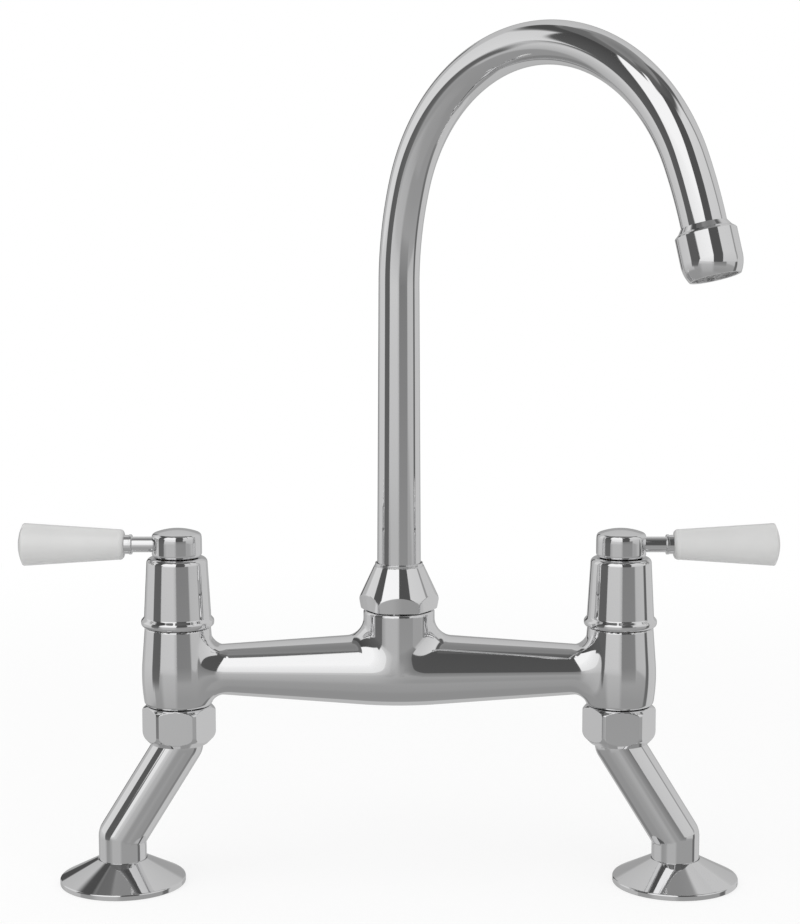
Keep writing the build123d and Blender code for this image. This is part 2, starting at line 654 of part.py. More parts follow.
def spout_tube():
    """Make the gooseneck: a slightly tapered upright tube and the bent tube."""
    upright = turned(
        (SPOUT_BORE_RADIUS, SPOUT_BASE_Z),
        (SPOUT_BASE_RADIUS, SPOUT_BASE_Z),
        (SPOUT_TUBE_RADIUS, SPOUT_STRAIGHT_TOP_Z),
        (SPOUT_BORE_RADIUS, SPOUT_STRAIGHT_TOP_Z),
    )
    path = Plane.XZ * Wire(spout_path())
    section = Circle(SPOUT_TUBE_RADIUS) - Circle(SPOUT_BORE_RADIUS)
    bent = sweep(Pos(0, 0, SPOUT_STRAIGHT_TOP_Z) * section, path)
    return swung(upright + bent)


def spout_spigot():
    """Make the ground foot of the spout with its collar and two O-ring grooves."""
    outer = SPIGOT_BORE_RADIUS - RUNNING_GAP
    body = ring(SPOUT_BORE_RADIUS, outer, SPIGOT_BOTTOM_Z, SPIGOT_COLLAR_Z[0])
    body += ring(SPOUT_BORE_RADIUS, SPIGOT_COLLAR_RADIUS, *SPIGOT_COLLAR_Z)
    for middle in SPIGOT_RING_Z:
        groove = (middle - SPIGOT_GROOVE_HEIGHT / 2, middle + SPIGOT_GROOVE_HEIGHT / 2)
        body -= ring(SPIGOT_GROOVE_RADIUS, 2 * outer, *groove)
    return body


def spout_o_rings():
    """Make the two O-rings that seal the spigot."""
    section = (SPIGOT_BORE_RADIUS - SPIGOT_GROOVE_RADIUS) / 2 - RUNNING_GAP
    middle_radius = SPIGOT_GROOVE_RADIUS + section + RING_PLAY
    rings = [Pos(0, 0, z) * Torus(middle_radius, section) for z in SPIGOT_RING_Z]
    return Compound(rings)


def spout_slide_ring():
    """Make the plastic ring between the spigot collar and the spout nut."""
    low = SPIGOT_COLLAR_Z[1] + FACE_GAP
    return ring(SPOUT_NUT_HOLE_RADIUS, SLIDE_RING_RADIUS, low, SLIDE_RING_TOP_Z)


def six_curved_sides(corner_radius, height):
    """Draw a six-sided face whose sides are slightly curved outwards."""
    corners = []
    for number in range(7):
        angle = radians(60 * number)
        corners.append(Vector(corner_radius * cos(angle), corner_radius * sin(angle), height))
    sides = []
    for start, end in zip(corners, corners[1:]):
        middle = (start + end) / 2
        out = Vector(middle.X, middle.Y, 0).normalized()
        sides.append(ThreePointArc(start, middle + out * SPOUT_NUT_FACET_BULGE, end))
    return make_face(sides)


def spout_nut():
    """Make the domed nut that holds the spout down, with six leaning facets."""
    cone_top_z = SPOUT_NUT_TOP_Z - SPOUT_NUT_LIP_HEIGHT
    dome = turned(
        (0, SPOUT_NUT_BOTTOM_Z),
        (SPOUT_NUT_RADIUS, SPOUT_NUT_BOTTOM_Z, SPOUT_NUT_BOTTOM_ROUNDING),
        (SPOUT_NUT_RADIUS, SPOUT_NUT_SHOULDER_Z, SPOUT_NUT_SHOULDER_ROUNDING),
        (SPOUT_NUT_NECK_RADIUS, cone_top_z),
        (SPOUT_NUT_LIP_RADIUS + SPOUT_NUT_LIP_ROUNDING, cone_top_z),
        (SPOUT_NUT_LIP_RADIUS, SPOUT_NUT_TOP_Z, SPOUT_NUT_LIP_ROUNDING),
        (0, SPOUT_NUT_TOP_Z),
    )
    growth = SPOUT_NUT_CORNER_LEAN * (SPOUT_NUT_TOP_Z - SPOUT_NUT_BOTTOM_Z)
    lower = six_curved_sides(SPOUT_NUT_CORNER_RADIUS, SPOUT_NUT_BOTTOM_Z)
    upper = six_curved_sides(SPOUT_NUT_CORNER_RADIUS + growth, SPOUT_NUT_TOP_Z)
    facets = loft([lower, upper], ruled=True)
    inside = bar(SPOUT_THREAD_RADIUS + ASSEMBLY_GAP, SPOUT_NUT_BOTTOM_Z, SPOUT_THREAD_TOP_Z)
    inside += bar(SPOUT_NUT_CAVITY_RADIUS, SPOUT_THREAD_TOP_Z, SLIDE_RING_TOP_Z)
    inside += bar(SPOUT_NUT_HOLE_RADIUS, SLIDE_RING_TOP_Z, SPOUT_NUT_TOP_Z)
    return (dome & facets) - inside


def spout_end_collar():
    """Make the threaded ring on the end of the tube, with its conical shoulder."""
    collar = turned(
        (SPOUT_TUBE_RADIUS + RUNNING_GAP, 0),
        (END_COLLAR_FOOT_RADIUS, 0),
        (END_COLLAR_RADIUS, HOUSING_START),
        (END_COLLAR_RADIUS, END_COLLAR_LENGTH),
        (END_COLLAR_BORE_RADIUS, END_COLLAR_LENGTH),
        (END_COLLAR_BORE_RADIUS, SPOUT_END_STRAIGHT),
        (SPOUT_TUBE_RADIUS + RUNNING_GAP, SPOUT_END_STRAIGHT),
    )
    return at_spout_end(collar)


def aerator_housing():
    """Make the screwed sleeve that narrows to the mouth and holds the aerator."""
    thread = END_COLLAR_RADIUS + ASSEMBLY_GAP
    cavity_z = END_COLLAR_LENGTH + FACE_GAP
    inside = Polyline(
        (HOUSING_RADIUS, 0, HOUSING_TAPER_START),
        (HOUSING_RIM[0][0], 0, HOUSING_RIM[0][1]),
        (HOUSING_RIM[1][0], 0, HOUSING_RIM[1][1]),
        (thread, 0, HOUSING_START),
        (thread, 0, cavity_z),
        (HOUSING_CAVITY_RADIUS, 0, cavity_z),
        (HOUSING_CAVITY_RADIUS, 0, HOUSING_LIP_START),
        (HOUSING_LIP_RADIUS, 0, HOUSING_LIP_START),
        (HOUSING_LIP_RADIUS, 0, HOUSING_LENGTH),
        (HOUSING_MOUTH_RADIUS, 0, HOUSING_LENGTH),
    )
    taper = ThreePointArc(
        (HOUSING_MOUTH_RADIUS, 0, HOUSING_LENGTH),
        (HOUSING_RADIUS - HOUSING_TAPER_BULGE, 0, (HOUSING_TAPER_START + HOUSING_LENGTH) / 2),
        (HOUSING_RADIUS, 0, HOUSING_TAPER_START),
    )
    return at_spout_end(revolve(make_face(inside + taper), Axis.Z, 360))


def hole_pattern():
    """Place the outlet holes: one in the middle and two circles round it."""
    places = Locations((0, 0)).locations
    for radius, count in INSERT_HOLE_CIRCLES:
        places += PolarLocations(radius, count).locations
    return places


def aerator_insert():
    """Make the insert with the outlet holes, seated on the lip of the housing."""
    body = bar(HOUSING_CAVITY_RADIUS - ASSEMBLY_GAP, INSERT_TOP, HOUSING_LIP_START)
    body += bar(HOUSING_LIP_RADIUS - ASSEMBLY_GAP, HOUSING_LIP_START, INSERT_FACE)
    body -= bar(HOUSING_LIP_RADIUS - INSERT_WALL, INSERT_TOP, INSERT_FACE - INSERT_PLATE)
    hole = bar(INSERT_HOLE_RADIUS, INSERT_TOP, INSERT_FACE)
    for place in hole_pattern():
        body -= place * hole
    return at_spout_end(body)


def aerator_screen():
    """Make the disc of the inlet screen."""
    return at_spout_end(bar(HOUSING_CAVITY_RADIUS - ASSEMBLY_GAP, SCREEN_TOP, INSERT_TOP))


def aerator_seal():
    """Make the flat seal between the end collar and the screen."""
    outer = HOUSING_CAVITY_RADIUS - ASSEMBLY_GAP
    return at_spout_end(ring(AERATOR_SEAL_BORE_RADIUS, outer, END_COLLAR_LENGTH, SCREEN_TOP))


# Assembly -----------------------------------------------------------------------------

COLUMN_PIECES = {
    "union_nut": union_nut,
    "union_washer": union_washer,
    "leg": leg,
    "flange": flange,
    "flange_seal": flange_seal,
    "cartridge_body": cartridge_body,
    "seat_seal": seat_seal,
    "fixed_disc": fixed_disc,
    "moving_disc": moving_disc,
    "spindle": spindle,
    "spindle_o_rings": spindle_o_rings,
    "snap_ring": snap_ring,
    "shroud": shroud,
    "handle_hub": handle_hub,
    "hub_screw": hub_screw,
    "handle_rod": handle_rod,
    "ferrule": ferrule,
    "grip": grip,
}

MIDDLE_PIECES = {
    "bridge_body": bridge_body,
    "spout_tube": spout_tube,
    "spout_spigot": spout_spigot,
    "spout_o_rings": spout_o_rings,
    "spout_slide_ring": spout_slide_ring,
    "spout_nut": spout_nut,
    "spout_end_collar": spout_end_collar,
    "aerator_housing": aerator_housing,
    "aerator_insert": aerator_insert,
    "aerator_screen": aerator_screen,
    "aerator_seal": aerator_seal,
}


def main():
    """Build every piece and write it to its own file."""
    os.makedirs("parts", exist_ok=True)
    for name, make in MIDDLE_PIECES.items():
        export_step(make(), f"parts/{name}.step")
    for name, make in COLUMN_PIECES.items():
        right = Pos(VALVE_SPACING / 2, 0, 0) * make()
        export_step(right, f"parts/right_{name}.step")
        export_step(mirror(right, about=Plane.YZ), f"parts/left_{name}.step")


if __name__ == "__main__":
    main()
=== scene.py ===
"""Bridge kitchen faucet: the visible pieces, their finishes and the studio.

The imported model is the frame. Visible pieces are made anew here with fine, smooth
meshes and ride on the frame's bodies; hidden pieces keep the frame's own meshes.
Lengths in this file are in millimetres and become metres when a mesh is made.
"""

import json
import math

import bpy
import numpy as np
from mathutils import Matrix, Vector


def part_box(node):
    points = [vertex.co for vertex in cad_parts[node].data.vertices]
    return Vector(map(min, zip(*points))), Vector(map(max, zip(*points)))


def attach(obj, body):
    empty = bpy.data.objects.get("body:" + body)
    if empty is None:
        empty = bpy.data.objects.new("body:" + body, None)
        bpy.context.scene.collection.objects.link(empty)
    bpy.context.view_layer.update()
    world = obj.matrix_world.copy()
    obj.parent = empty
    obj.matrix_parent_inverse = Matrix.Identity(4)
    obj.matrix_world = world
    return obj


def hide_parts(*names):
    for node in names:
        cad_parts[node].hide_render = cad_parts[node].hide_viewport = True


bl_info = {
    "name": "Bridge Kitchen Faucet",
    "version": (1, 0, 0),
    "blender": (4, 5, 0),
    "location": "3D Viewport > Sidebar > Faucet",
    "description": "Builds a bridge kitchen faucet and a studio around it",
    "category": "Object",
}

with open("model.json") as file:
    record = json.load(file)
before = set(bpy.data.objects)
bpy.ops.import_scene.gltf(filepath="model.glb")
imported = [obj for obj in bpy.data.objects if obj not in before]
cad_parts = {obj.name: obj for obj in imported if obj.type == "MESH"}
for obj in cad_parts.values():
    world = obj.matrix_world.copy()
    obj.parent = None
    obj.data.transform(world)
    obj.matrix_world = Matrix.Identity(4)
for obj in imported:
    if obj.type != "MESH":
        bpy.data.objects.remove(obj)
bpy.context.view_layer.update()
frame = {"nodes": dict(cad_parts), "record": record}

MM = 0.001
SIDES = {"left": -1, "right": 1}


def node_box(node):
    """Lowest and highest corner of a frame node, in millimetres."""
    low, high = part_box(node)
    return Vector(low) / MM, Vector(high) / MM


def middle_x(node):
    """X of the middle of a frame node, in millimetres."""
    low, high = node_box(node)
    return (low.x + high.x) / 2


# Places that the frame gives
VALVE_X = middle_x("right_handle_hub")
FOOT_OFFSET = middle_x("right_flange") - VALVE_X
LEVER_Z = (node_box("right_grip")[0].z + node_box("right_grip")[1].z) / 2

# Casting
BRIDGE_Z = 100.7
BARREL_Z = (84.3, 98.5, 104.5, 120.7)  # bottom, belly, start of the taper, top
BARREL_RADII = (15.75, 16.65, 16.4, 15.1)
BARREL_EDGE = 1.8
BARREL_TOP_EDGE = 0.2
BARREL_BLEND = 3.2
BARREL_FRONT_BLEND = 16.0  # reached at BARREL_FRONT_Y, to the front and the back
BARREL_FRONT_Y = 13.0
TUBE_CROWN_RADIUS = 16.7
TUBE_CROWN_BEND = 250.0
TUBE_TAPER = 0.0708
BOSS_RADIUS = 16.3
BOSS_TOP_Z = 128.9
BOSS_EDGE = 1.0
BOSS_BLEND = 8.0
BOSS_FRONT_BLEND = 24.0  # added where boss and tube run flush, at the front and the back
SPIGOT_RADIUS = 13.15
SPIGOT_BOTTOM_Z = 74.2
THREAD_RADIUS = 14.1
THREAD_TOP_Z = 138.65
BRIDGE_BORE_RADIUS = 6.0

# Upright bores of the casting, each (radius, bottom, top)
VALVE_BORES = ((10.4, 104.0, 125.0), (9.3, 91.5, 106.0), (6.2, 70.0, 93.0))
BOSS_BORES = ((10.6, 104.5, 142.0), (8.5, 93.5, 106.0))

# Spout, in the upright plane that it swings in
SPOUT_AZIMUTH = math.radians(-45)
SPOUT_RADIUS = 9.2
SPOUT_BASE_RADIUS = 10.0
SPOUT_BORE_RADIUS = 8.1
SPOUT_BASE_Z = 141.5
SPOUT_STRAIGHT_TOP_Z = 276.9
SPOUT_ARCS = ((155.8, 17.0), (82.1, 139.4), (212.9, 7.2))
SPOUT_END_STRAIGHT = 4.0

# Leg
LEG_RADIUS = 11.0
LEG_BORE_RADIUS = 8.0
LEG_TOP_Z = 72.65
LEG_UPPER_BEND_Z = 65.75
LEG_LOWER_BEND_Z = 22.1
LEG_COLLAR_RADIUS = 12.0
LEG_COLLAR_Z = 70.2
FOOT_RADIUS = 13.5
FOOT_TOP_Z = 7.5
SOCKET_RADIUS = 9.315
SOCKET_DEPTH = 13.0

# Lever, by the distance from the hub's axis
STUB_START = 5.1
ROD_START = 10.4
FERRULE_START = 20.3
GRIP_START = 23.9
TANG_END = 42.0
TANG_HOLE_RADIUS = 2.55
GRIP_EDGE = (9.75, 69.8)  # radius and distance of the grip's widest place

# Studio, in metres and degrees
FAUCET_MIDDLE = (0, 0, 0.15)
FLOOR_FADE = (0.3, 0.9)  # distances between which the floor goes over to white
FLOOR_GLOW = (0.75, 1.0)  # share of white at those distances
CAMERA_PLACE = (0.00045, -0.984235, 0.324353)
CAMERA_TILT = 7.391
CAMERA_LENS = 85.16  # with a sensor 36 high


# Settings -----------------------------------------------------------------------------


class FaucetShape(bpy.types.PropertyGroup):
    """Sizes of the small features and how finely the meshes are cut."""

    turn_steps: bpy.props.IntProperty(
        name="Turn steps", description="Steps round a turned piece", default=144, min=24, max=512
    )
    nut_edge: bpy.props.FloatProperty(
        name="Nut edge",
        description="Rounding of the edges between the flats of the nuts, in millimetres",
        default=0.45,
        min=0.05,
        max=1.5,
    )
    casting_pitch: bpy.props.FloatProperty(
        name="Casting mesh",
        description="Width of a face on the casting and the legs, in millimetres",
        default=0.75,
        min=0.3,
        max=3.0,
    )
    nut_pitch: bpy.props.FloatProperty(
        name="Nut mesh",
        description="Width of a face on the nuts and the hubs, in millimetres",
        default=0.32,
        min=0.1,
        max=1.0,
    )


class FaucetFinish(bpy.types.PropertyGroup):
    """Colours and gloss of the finishes."""

    chrome_colour: bpy.props.FloatVectorProperty(
        name="Chrome",
        description="Colour of the chrome plate",
        subtype="COLOR",
        size=4,
        default=(0.86, 0.86, 0.865, 1.0),
        min=0.0,
        max=1.0,
    )
    chrome_roughness: bpy.props.FloatProperty(
        name="Chrome roughness",
        description="Roughness of the polished chrome",
        subtype="FACTOR",
        default=0.05,
        min=0.0,
        max=1.0,
    )
    ceramic_colour: bpy.props.FloatVectorProperty(
        name="Ceramic",
        description="Colour of the glazed grips",
        subtype="COLOR",
        size=4,
        default=(0.63, 0.63, 0.625, 1.0),
        min=0.0,
        max=1.0,
    )


class StudioSettings(bpy.types.PropertyGroup):
    """Light levels of the studio."""

    key_power: bpy.props.FloatProperty(
        name="Key light",
        description="Power of the large light overhead",
        subtype="POWER",
        default=10.0,
        min=0.0,
    )
    fill_power: bpy.props.FloatProperty(
        name="Fill light",
        description="Power of the light beside the camera",
        subtype="POWER",
        default=4.0,
        min=0.0,
    )
    floor_colour: bpy.props.FloatVectorProperty(
        name="Floor",
        description="Colour of the floor",
        subtype="COLOR",
        size=4,
        default=(0.93, 0.93, 0.93, 1.0),
        min=0.0,
        max=1.0,
    )


# Outlines and turned meshes -----------------------------------------------------------

HOLD = 0.12  # distance of the points that keep long faces flat up to their ends
ARC_STEP = math.radians(7.5)


def rounded(corners):
    """Closed outline from corners that are (radius, height) or (radius, height, rounding)."""
    count = len(corners)
    points = []
    for i, corner in enumerate(corners):
        here = np.array(corner[:2], float)
        rounding = corner[2] if len(corner) == 3 else 0.0
        if rounding == 0:
            points.append(here)
            continue
        before = np.array(corners[i - 1][:2], float) - here
        after = np.array(corners[(i + 1) % count][:2], float) - here
        before /= np.linalg.norm(before)
        after /= np.linalg.norm(after)
        half = math.acos(np.clip(np.dot(before, after), -1, 1)) / 2
        middle = before + after
        centre = here + middle / np.linalg.norm(middle) * rounding / math.sin(half)
        start = here + before * rounding / math.tan(half) - centre
        end = here + after * rounding / math.tan(half) - centre
        turn = math.atan2(start[0] * end[1] - start[1] * end[0], np.dot(start, end))
        steps = max(2, math.ceil(abs(turn) / ARC_STEP))
        for step in range(steps + 1):
            angle = turn * step / steps
            cosine, sine = math.cos(angle), math.sin(angle)
            turned_x = cosine * start[0] - sine * start[1]
            turned_z = sine * start[0] + cosine * start[1]
            points.append(centre + [turned_x, turned_z])
    return held(points)


def held(points):
    """Add a point close to each end of every long run, so that shading stays true there."""
    result = []
    for i, point in enumerate(points):
        result.append(point)
        run = points[(i + 1) % len(points)] - point
        length = np.linalg.norm(run)
        if length > 6 * HOLD:
            result.append(point + run * HOLD / length)
            result.append(point + run * (1 - HOLD / length))
    return result


def arc_corners(start, middle, end, steps):
    """Outline points on the arc from start over middle to end."""
    a, b, c = (np.array(point, float) for point in (start, middle, end))
    centre, radius = circle_through(a, b, c)
    first = math.atan2(*(a - centre)[::-1])
    last = math.atan2(*(c - centre)[::-1])
    through = math.atan2(*(b - centre)[::-1])
    sweep = (last - first + math.pi) % (2 * math.pi) - math.pi
    past = (through - first + math.pi) % (2 * math.pi) - math.pi
    if sweep * past < 0:
        sweep -= math.copysign(2 * math.pi, sweep)
    points = []
    for step in range(steps + 1):
        angle = first + sweep * step / steps
        points.append((centre[0] + radius * math.cos(angle), centre[1] + radius * math.sin(angle)))
    return points


def circle_through(a, b, c):
    """Centre and radius of the circle through three points of a plane."""
    rows = np.array([2 * (b - a), 2 * (c - a)])
    centre = np.linalg.solve(rows, [b @ b - a @ a, c @ c - a @ a])
    return centre, np.linalg.norm(a - centre)


def turned(points, steps):
    """Mesh of a closed outline of (radius, height) turned about the Z axis."""
    vertices = []
    rings = []
    angles = np.arange(steps) * 2 * math.pi / steps
    for radius, height in points:
        if radius < 1e-6:
            rings.append([len(vertices)] * steps)
            vertices.append((0, 0, height))
            continue
        rings.append(list(range(len(vertices), len(vertices) + steps)))
        vertices += [(radius * math.cos(a), radius * math.sin(a), height) for a in angles]
    faces = []
    for low, high in zip(rings, rings[1:] + rings[:1]):
        if low[0] == low[1] and high[0] == high[1]:
            continue
        for i in range(steps):
            j = (i + 1) % steps
            corners = [low[i], low[j], high[j], high[i]]
            faces.append(list(dict.fromkeys(corners)))
    return np.array(vertices, float), faces, None


# Blended meshes from distance functions -----------------------------------------------

FINE_EDGE = 0.15  # rounding of edges that look sharp
SKIN_MOVES = 8  # how often a mesh is moved onto its surface
LEAST_SLOPE = 0.3  # the least that a distance counts as growing by


def join(first, second, radius, cosine=0.0):
    """Distance to two joined shapes with a hollow fillet, as a ball rolls between them.

    The cosine is that of the angle between the two surfaces' normals.
    """
    a, b = radius - first, radius - second
    sine_squared = np.maximum(1 - cosine * cosine, 1e-4)
    reach = np.sqrt(np.maximum(a * a + b * b - 2 * a * b * cosine, 0) / sine_squared)
    rolls = (a > b * cosine) & (b > a * cosine) & (np.maximum(a, b) > 0)
    return np.where(rolls, radius - reach, np.minimum(first, second))


def keep(first, second, radius, cosine=0.0):
    """Distance to the common part of two shapes, with its edge rounded."""
    return -join(-first, -second, radius, cosine)


def column(p, x, radius, low, high, edge=FINE_EDGE):
    """Distance to an upright round column with rounded ends."""
    side = np.hypot(p[:, 0] - x, p[:, 1]) - radius
    ends = np.maximum(low - p[:, 2], p[:, 2] - high)
    return keep(side, ends, edge)


def slope_of(distance, points, reach=0.01):
    """Direction in which a distance grows fastest, and how fast."""
    slopes = np.empty_like(points)
    for axis in range(3):
        shift = np.zeros(3)
        shift[axis] = reach
        slopes[:, axis] = (distance(points + shift) - distance(points - shift)) / (2 * reach)
    length = np.linalg.norm(slopes, axis=1, keepdims=True)
    return slopes / np.maximum(length, 1e-9), length[:, 0]


def skin(distance, low, high, pitch):
    """Closed mesh, with its true normals, of the surface where a distance is zero.

    The space is cut into cells; each cell that the surface crosses gets a vertex, which
    is then moved onto the surface.
    """
    axes = [np.arange(a - 2 * pitch, b + 3 * pitch, pitch) for a, b in zip(low, high)]
    shape = [len(axis) for axis in axes]
    inside = np.zeros(shape, bool)
    y, z = np.meshgrid(axes[1], axes[2], indexing="ij")
    for i, x in enumerate(axes[0]):
        layer = np.stack([np.full(y.size, x), y.ravel(), z.ravel()], axis=1)
        inside[i] = (distance(layer) < 0).reshape(shape[1:])
    corners = np.zeros([n - 1 for n in shape], int)
    for i in (0, 1):
        for j in (0, 1):
            for k in (0, 1):
                corners += inside[i : shape[0] - 1 + i, j : shape[1] - 1 + j, k : shape[2] - 1 + k]
    crossed = (corners > 0) & (corners < 8)
    number = np.full(corners.shape, -1)
    number[crossed] = np.arange(crossed.sum())
    points = np.array([axis[0] for axis in axes]) + (np.argwhere(crossed) + 0.5) * pitch
    for _ in range(SKIN_MOVES):
        normals, slope = slope_of(distance, points)
        step = distance(points) / np.maximum(slope, LEAST_SLOPE)
        points = points - normals * np.clip(step, -pitch, pitch)[:, None]
    normals, _ = slope_of(distance, points)
    faces = []
    for axis in range(3):
        u, v = [a for a in range(3) if a != axis]
        low_cut, high_cut = [slice(None)] * 3, [slice(None)] * 3
        low_cut[axis], high_cut[axis] = slice(None, -1), slice(1, None)
        places = np.argwhere(inside[tuple(low_cut)] != inside[tuple(high_cut)])
        here = inside[tuple(places.T)]
        back_u, back_v = np.zeros(3, int), np.zeros(3, int)
        back_u[u], back_v[v] = 1, 1
        shifts = (0 * back_u, back_u, back_u + back_v, back_v)
        quads = np.stack([number[tuple((places - shift).T)] for shift in shifts], axis=1)
        outward = ~here if axis == 1 else here
        quads[~outward] = quads[~outward][:, ::-1]
        faces += quads.tolist()
    return points, faces, normals


# Placing and making pieces ------------------------------------------------------------

SHARP_ANGLE = math.radians(32)


def moved(form, turn=None, shift=(0, 0, 0)):
    """Turn a form by a matrix and then move it."""
    vertices, faces, normals = form
    if turn is not None:
        vertices = vertices @ np.array(turn, float).T
        normals = None if normals is None else normals @ np.array(turn, float).T
    return vertices + shift, faces, normals


def along_lever(form):
    """Lay a form made along the Z axis down along +X at the height of the levers."""
    return moved(form, [[0, 0, 1], [0, 1, 0], [-1, 0, 0]], (0, 0, LEVER_Z))


def on_side(form, side):
    """Place a form made on the Z axis on the valve of one side, mirrored on the left."""
    vertices, faces, normals = form
    vertices = (vertices + [VALVE_X, 0, 0]) * [side, 1, 1]
    if side < 0:
        faces = [face[::-1] for face in faces]
        normals = None if normals is None else normals * [-1, 1, 1]
    return vertices, faces, normals


def make_piece(name, form, body, nodes, slot="chrome_plate"):
    """Make one visible piece that stands for frame nodes and rides on their body."""
    vertices, faces, normals = form
    mesh = bpy.data.meshes.new(name)
    mesh.from_pydata((np.asarray(vertices) * MM).tolist(), [], faces)
    mesh.update()
    mesh.shade_smooth()
    if normals is None:
        mesh.set_sharp_from_angle(angle=SHARP_ANGLE)
    else:
        mesh.normals_split_custom_set_from_vertices(normals.tolist())
    mesh.materials.append(finish_named(slot))
    piece = bpy.data.objects.new(name, mesh)
    bpy.context.scene.collection.objects.link(piece)
    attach(piece, body)
    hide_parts(*nodes)


def make_pairs(body, *rows):
    """Make pieces on both valves from rows (part, last word of the name, form, slot).

    {} in the body's name stands for the side; a row without a slot is chrome.
    """
    for name, side in SIDES.items():
        for part, word, form, *slot in rows:
            node = f"{name}_{part}"
            place = on_side(form, side)
            make_piece(f"{node}_{word}", place, body.format(name), [node], *slot)


# Forms --------------------------------------------------------------------------------


def tube_radius(x):
    """Radius of the bridge tube at a distance from its middle."""
    x = np.abs(x)
    crown_end = TUBE_CROWN_BEND * TUBE_TAPER
    crown = TUBE_CROWN_RADIUS - x * x / (2 * TUBE_CROWN_BEND)
    end_radius = TUBE_CROWN_RADIUS - crown_end * TUBE_TAPER / 2
    return np.where(x < crown_end, crown, end_radius - (x - crown_end) * TUBE_TAPER)


def barrel_distance(p, x):
    """Distance to one barrel, bellied below and tapered above, with a rounded lower edge."""
    out = np.hypot(p[:, 0] - x, p[:, 1])
    corners = [np.array(corner) for corner in zip(BARREL_RADII, BARREL_Z)]
    corners[0][1] += BARREL_EDGE
    centre, radius = circle_through(*corners[:3])
    belly = np.hypot(out - centre[0], p[:, 2] - centre[1]) - radius
    taper, _ = cone(out, p[:, 2], corners[2], corners[3])
    side = np.where(p[:, 2] < BARREL_Z[2], belly, taper)
    lower = keep(side, BARREL_Z[0] - p[:, 2], BARREL_EDGE)
    return keep(lower, p[:, 2] - BARREL_Z[3], BARREL_TOP_EDGE)


def skin_cosine(p, x):
    """Cosine of the angle between the skins of the bridge tube and a column at x."""
    reach = np.hypot(p[:, 1], p[:, 2] - BRIDGE_Z) * np.hypot(p[:, 0] - x, p[:, 1])
    return p[:, 1] * p[:, 1] / np.maximum(reach, 1e-6)


def casting_distance(p):
    """Distance to the bridge casting with its fillets, threads and bores."""
    x, y, z = p.T
    side = np.abs(x)
    q = np.stack([side, y, z], axis=1)
    lift = np.hypot(y, z - BRIDGE_Z)
    tube = np.maximum(lift - tube_radius(x), side - VALVE_X)

    flush = p * [1, BOSS_RADIUS / TUBE_CROWN_RADIUS, 1]
    boss = column(flush, 0, BOSS_RADIUS, BRIDGE_Z, BOSS_TOP_Z, BOSS_EDGE)
    cosine = skin_cosine(p, 0)
    blend = BOSS_BLEND + BOSS_FRONT_BLEND * cosine**4
    body = np.where(z > BRIDGE_Z, join(tube, boss, blend, cosine), tube)

    barrel = barrel_distance(q, VALVE_X)
    share = np.minimum(1, np.abs(y) / BARREL_FRONT_Y)
    growth = share * share * (3 - 2 * share)
    blend = BARREL_BLEND + (BARREL_FRONT_BLEND - BARREL_BLEND) * growth
    joined = join(body, barrel, blend, skin_cosine(q, VALVE_X))
    body = np.where(side < VALVE_X, joined, np.minimum(body, barrel))

    spigot = column(q, VALVE_X, SPIGOT_RADIUS, SPIGOT_BOTTOM_Z, BRIDGE_Z)
    thread = column(p, 0, THREAD_RADIUS, BRIDGE_Z, THREAD_TOP_Z)
    body = np.minimum(np.minimum(body, spigot), thread)
    bores = [column(q, VALVE_X, *bore) for bore in VALVE_BORES]
    bores += [column(p, 0, *bore) for bore in BOSS_BORES]
    bores.append(np.maximum(lift - BRIDGE_BORE_RADIUS, side - VALVE_X))
    for bore in bores:
        body = np.maximum(body, -bore)
    return body


def six_sides(p, middle_radius, edge, growth=0.0, bulge=np.inf):
    """Distance to a six-sided bar with sides to the front and back.

    Its radius may grow with height and its sides may bulge with a given radius.
    """
    x, y, z = p.T
    grown = middle_radius + growth * z
    bar = None
    for angle in (90, 30, -30):
        cosine, sine = math.cos(math.radians(angle)), math.sin(math.radians(angle))
        side = np.abs(x * cosine + y * sine) - grown
        if bulge < np.inf:
            side = np.hypot(side + bulge, y * cosine - x * sine) - bulge
        side = side / math.hypot(1, growth)
        bar = side if bar is None else keep(bar, side, edge, 0.5)
    return bar


def cone(out, z, lower, upper):
    """Distance to a cone's side through two points (radius, height), and its run."""
    run = np.array(upper, float) - np.array(lower, float)
    run /= np.linalg.norm(run)
    return (out - lower[0]) * run[1] - (z - lower[1]) * run[0], run


def union_nut_distance(p, edge):
    """Distance to a union nut about the Z axis, with the ledge that holds the leg."""
    low, high, radius, half_width = 66.3, 84.1, 16.85, 15.0
    foot_radius, foot_chamfer, foot_rounding = 13.2, 3.7, 4.0
    top_radius, top_chamfer, top_rounding = 14.7, 1.8, 1.5
    flat_rounding, flat_cosine = 0.25, 0.85
    bore_radius, hole_radius, funnel_radius = 13.2, 11.5, 12.9
    ledge_low, ledge_high = 68.9, 69.6
    z = p[:, 2]
    out = np.hypot(p[:, 0], p[:, 1])
    lower, lower_run = cone(out, z, (foot_radius, low), (radius, low + foot_chamfer))
    upper, upper_run = cone(out, z, (radius, high - top_chamfer), (top_radius, high))
    body = keep(lower, out - radius, foot_rounding, lower_run[1])
    body = keep(body, upper, top_rounding, upper_run[1])
    body = keep(body, np.maximum(low - z, z - high), FINE_EDGE)
    body = keep(body, six_sides(p, half_width, edge), flat_rounding, flat_cosine)
    bore = np.maximum(out - bore_radius, ledge_high - z)
    funnel, _ = cone(out, z, (funnel_radius, low), (hole_radius, ledge_low))
    funnel = np.maximum(funnel, z - ledge_low)
    inside = np.minimum(np.minimum(bore, out - hole_radius), funnel)
    return keep(body, -inside, FINE_EDGE)


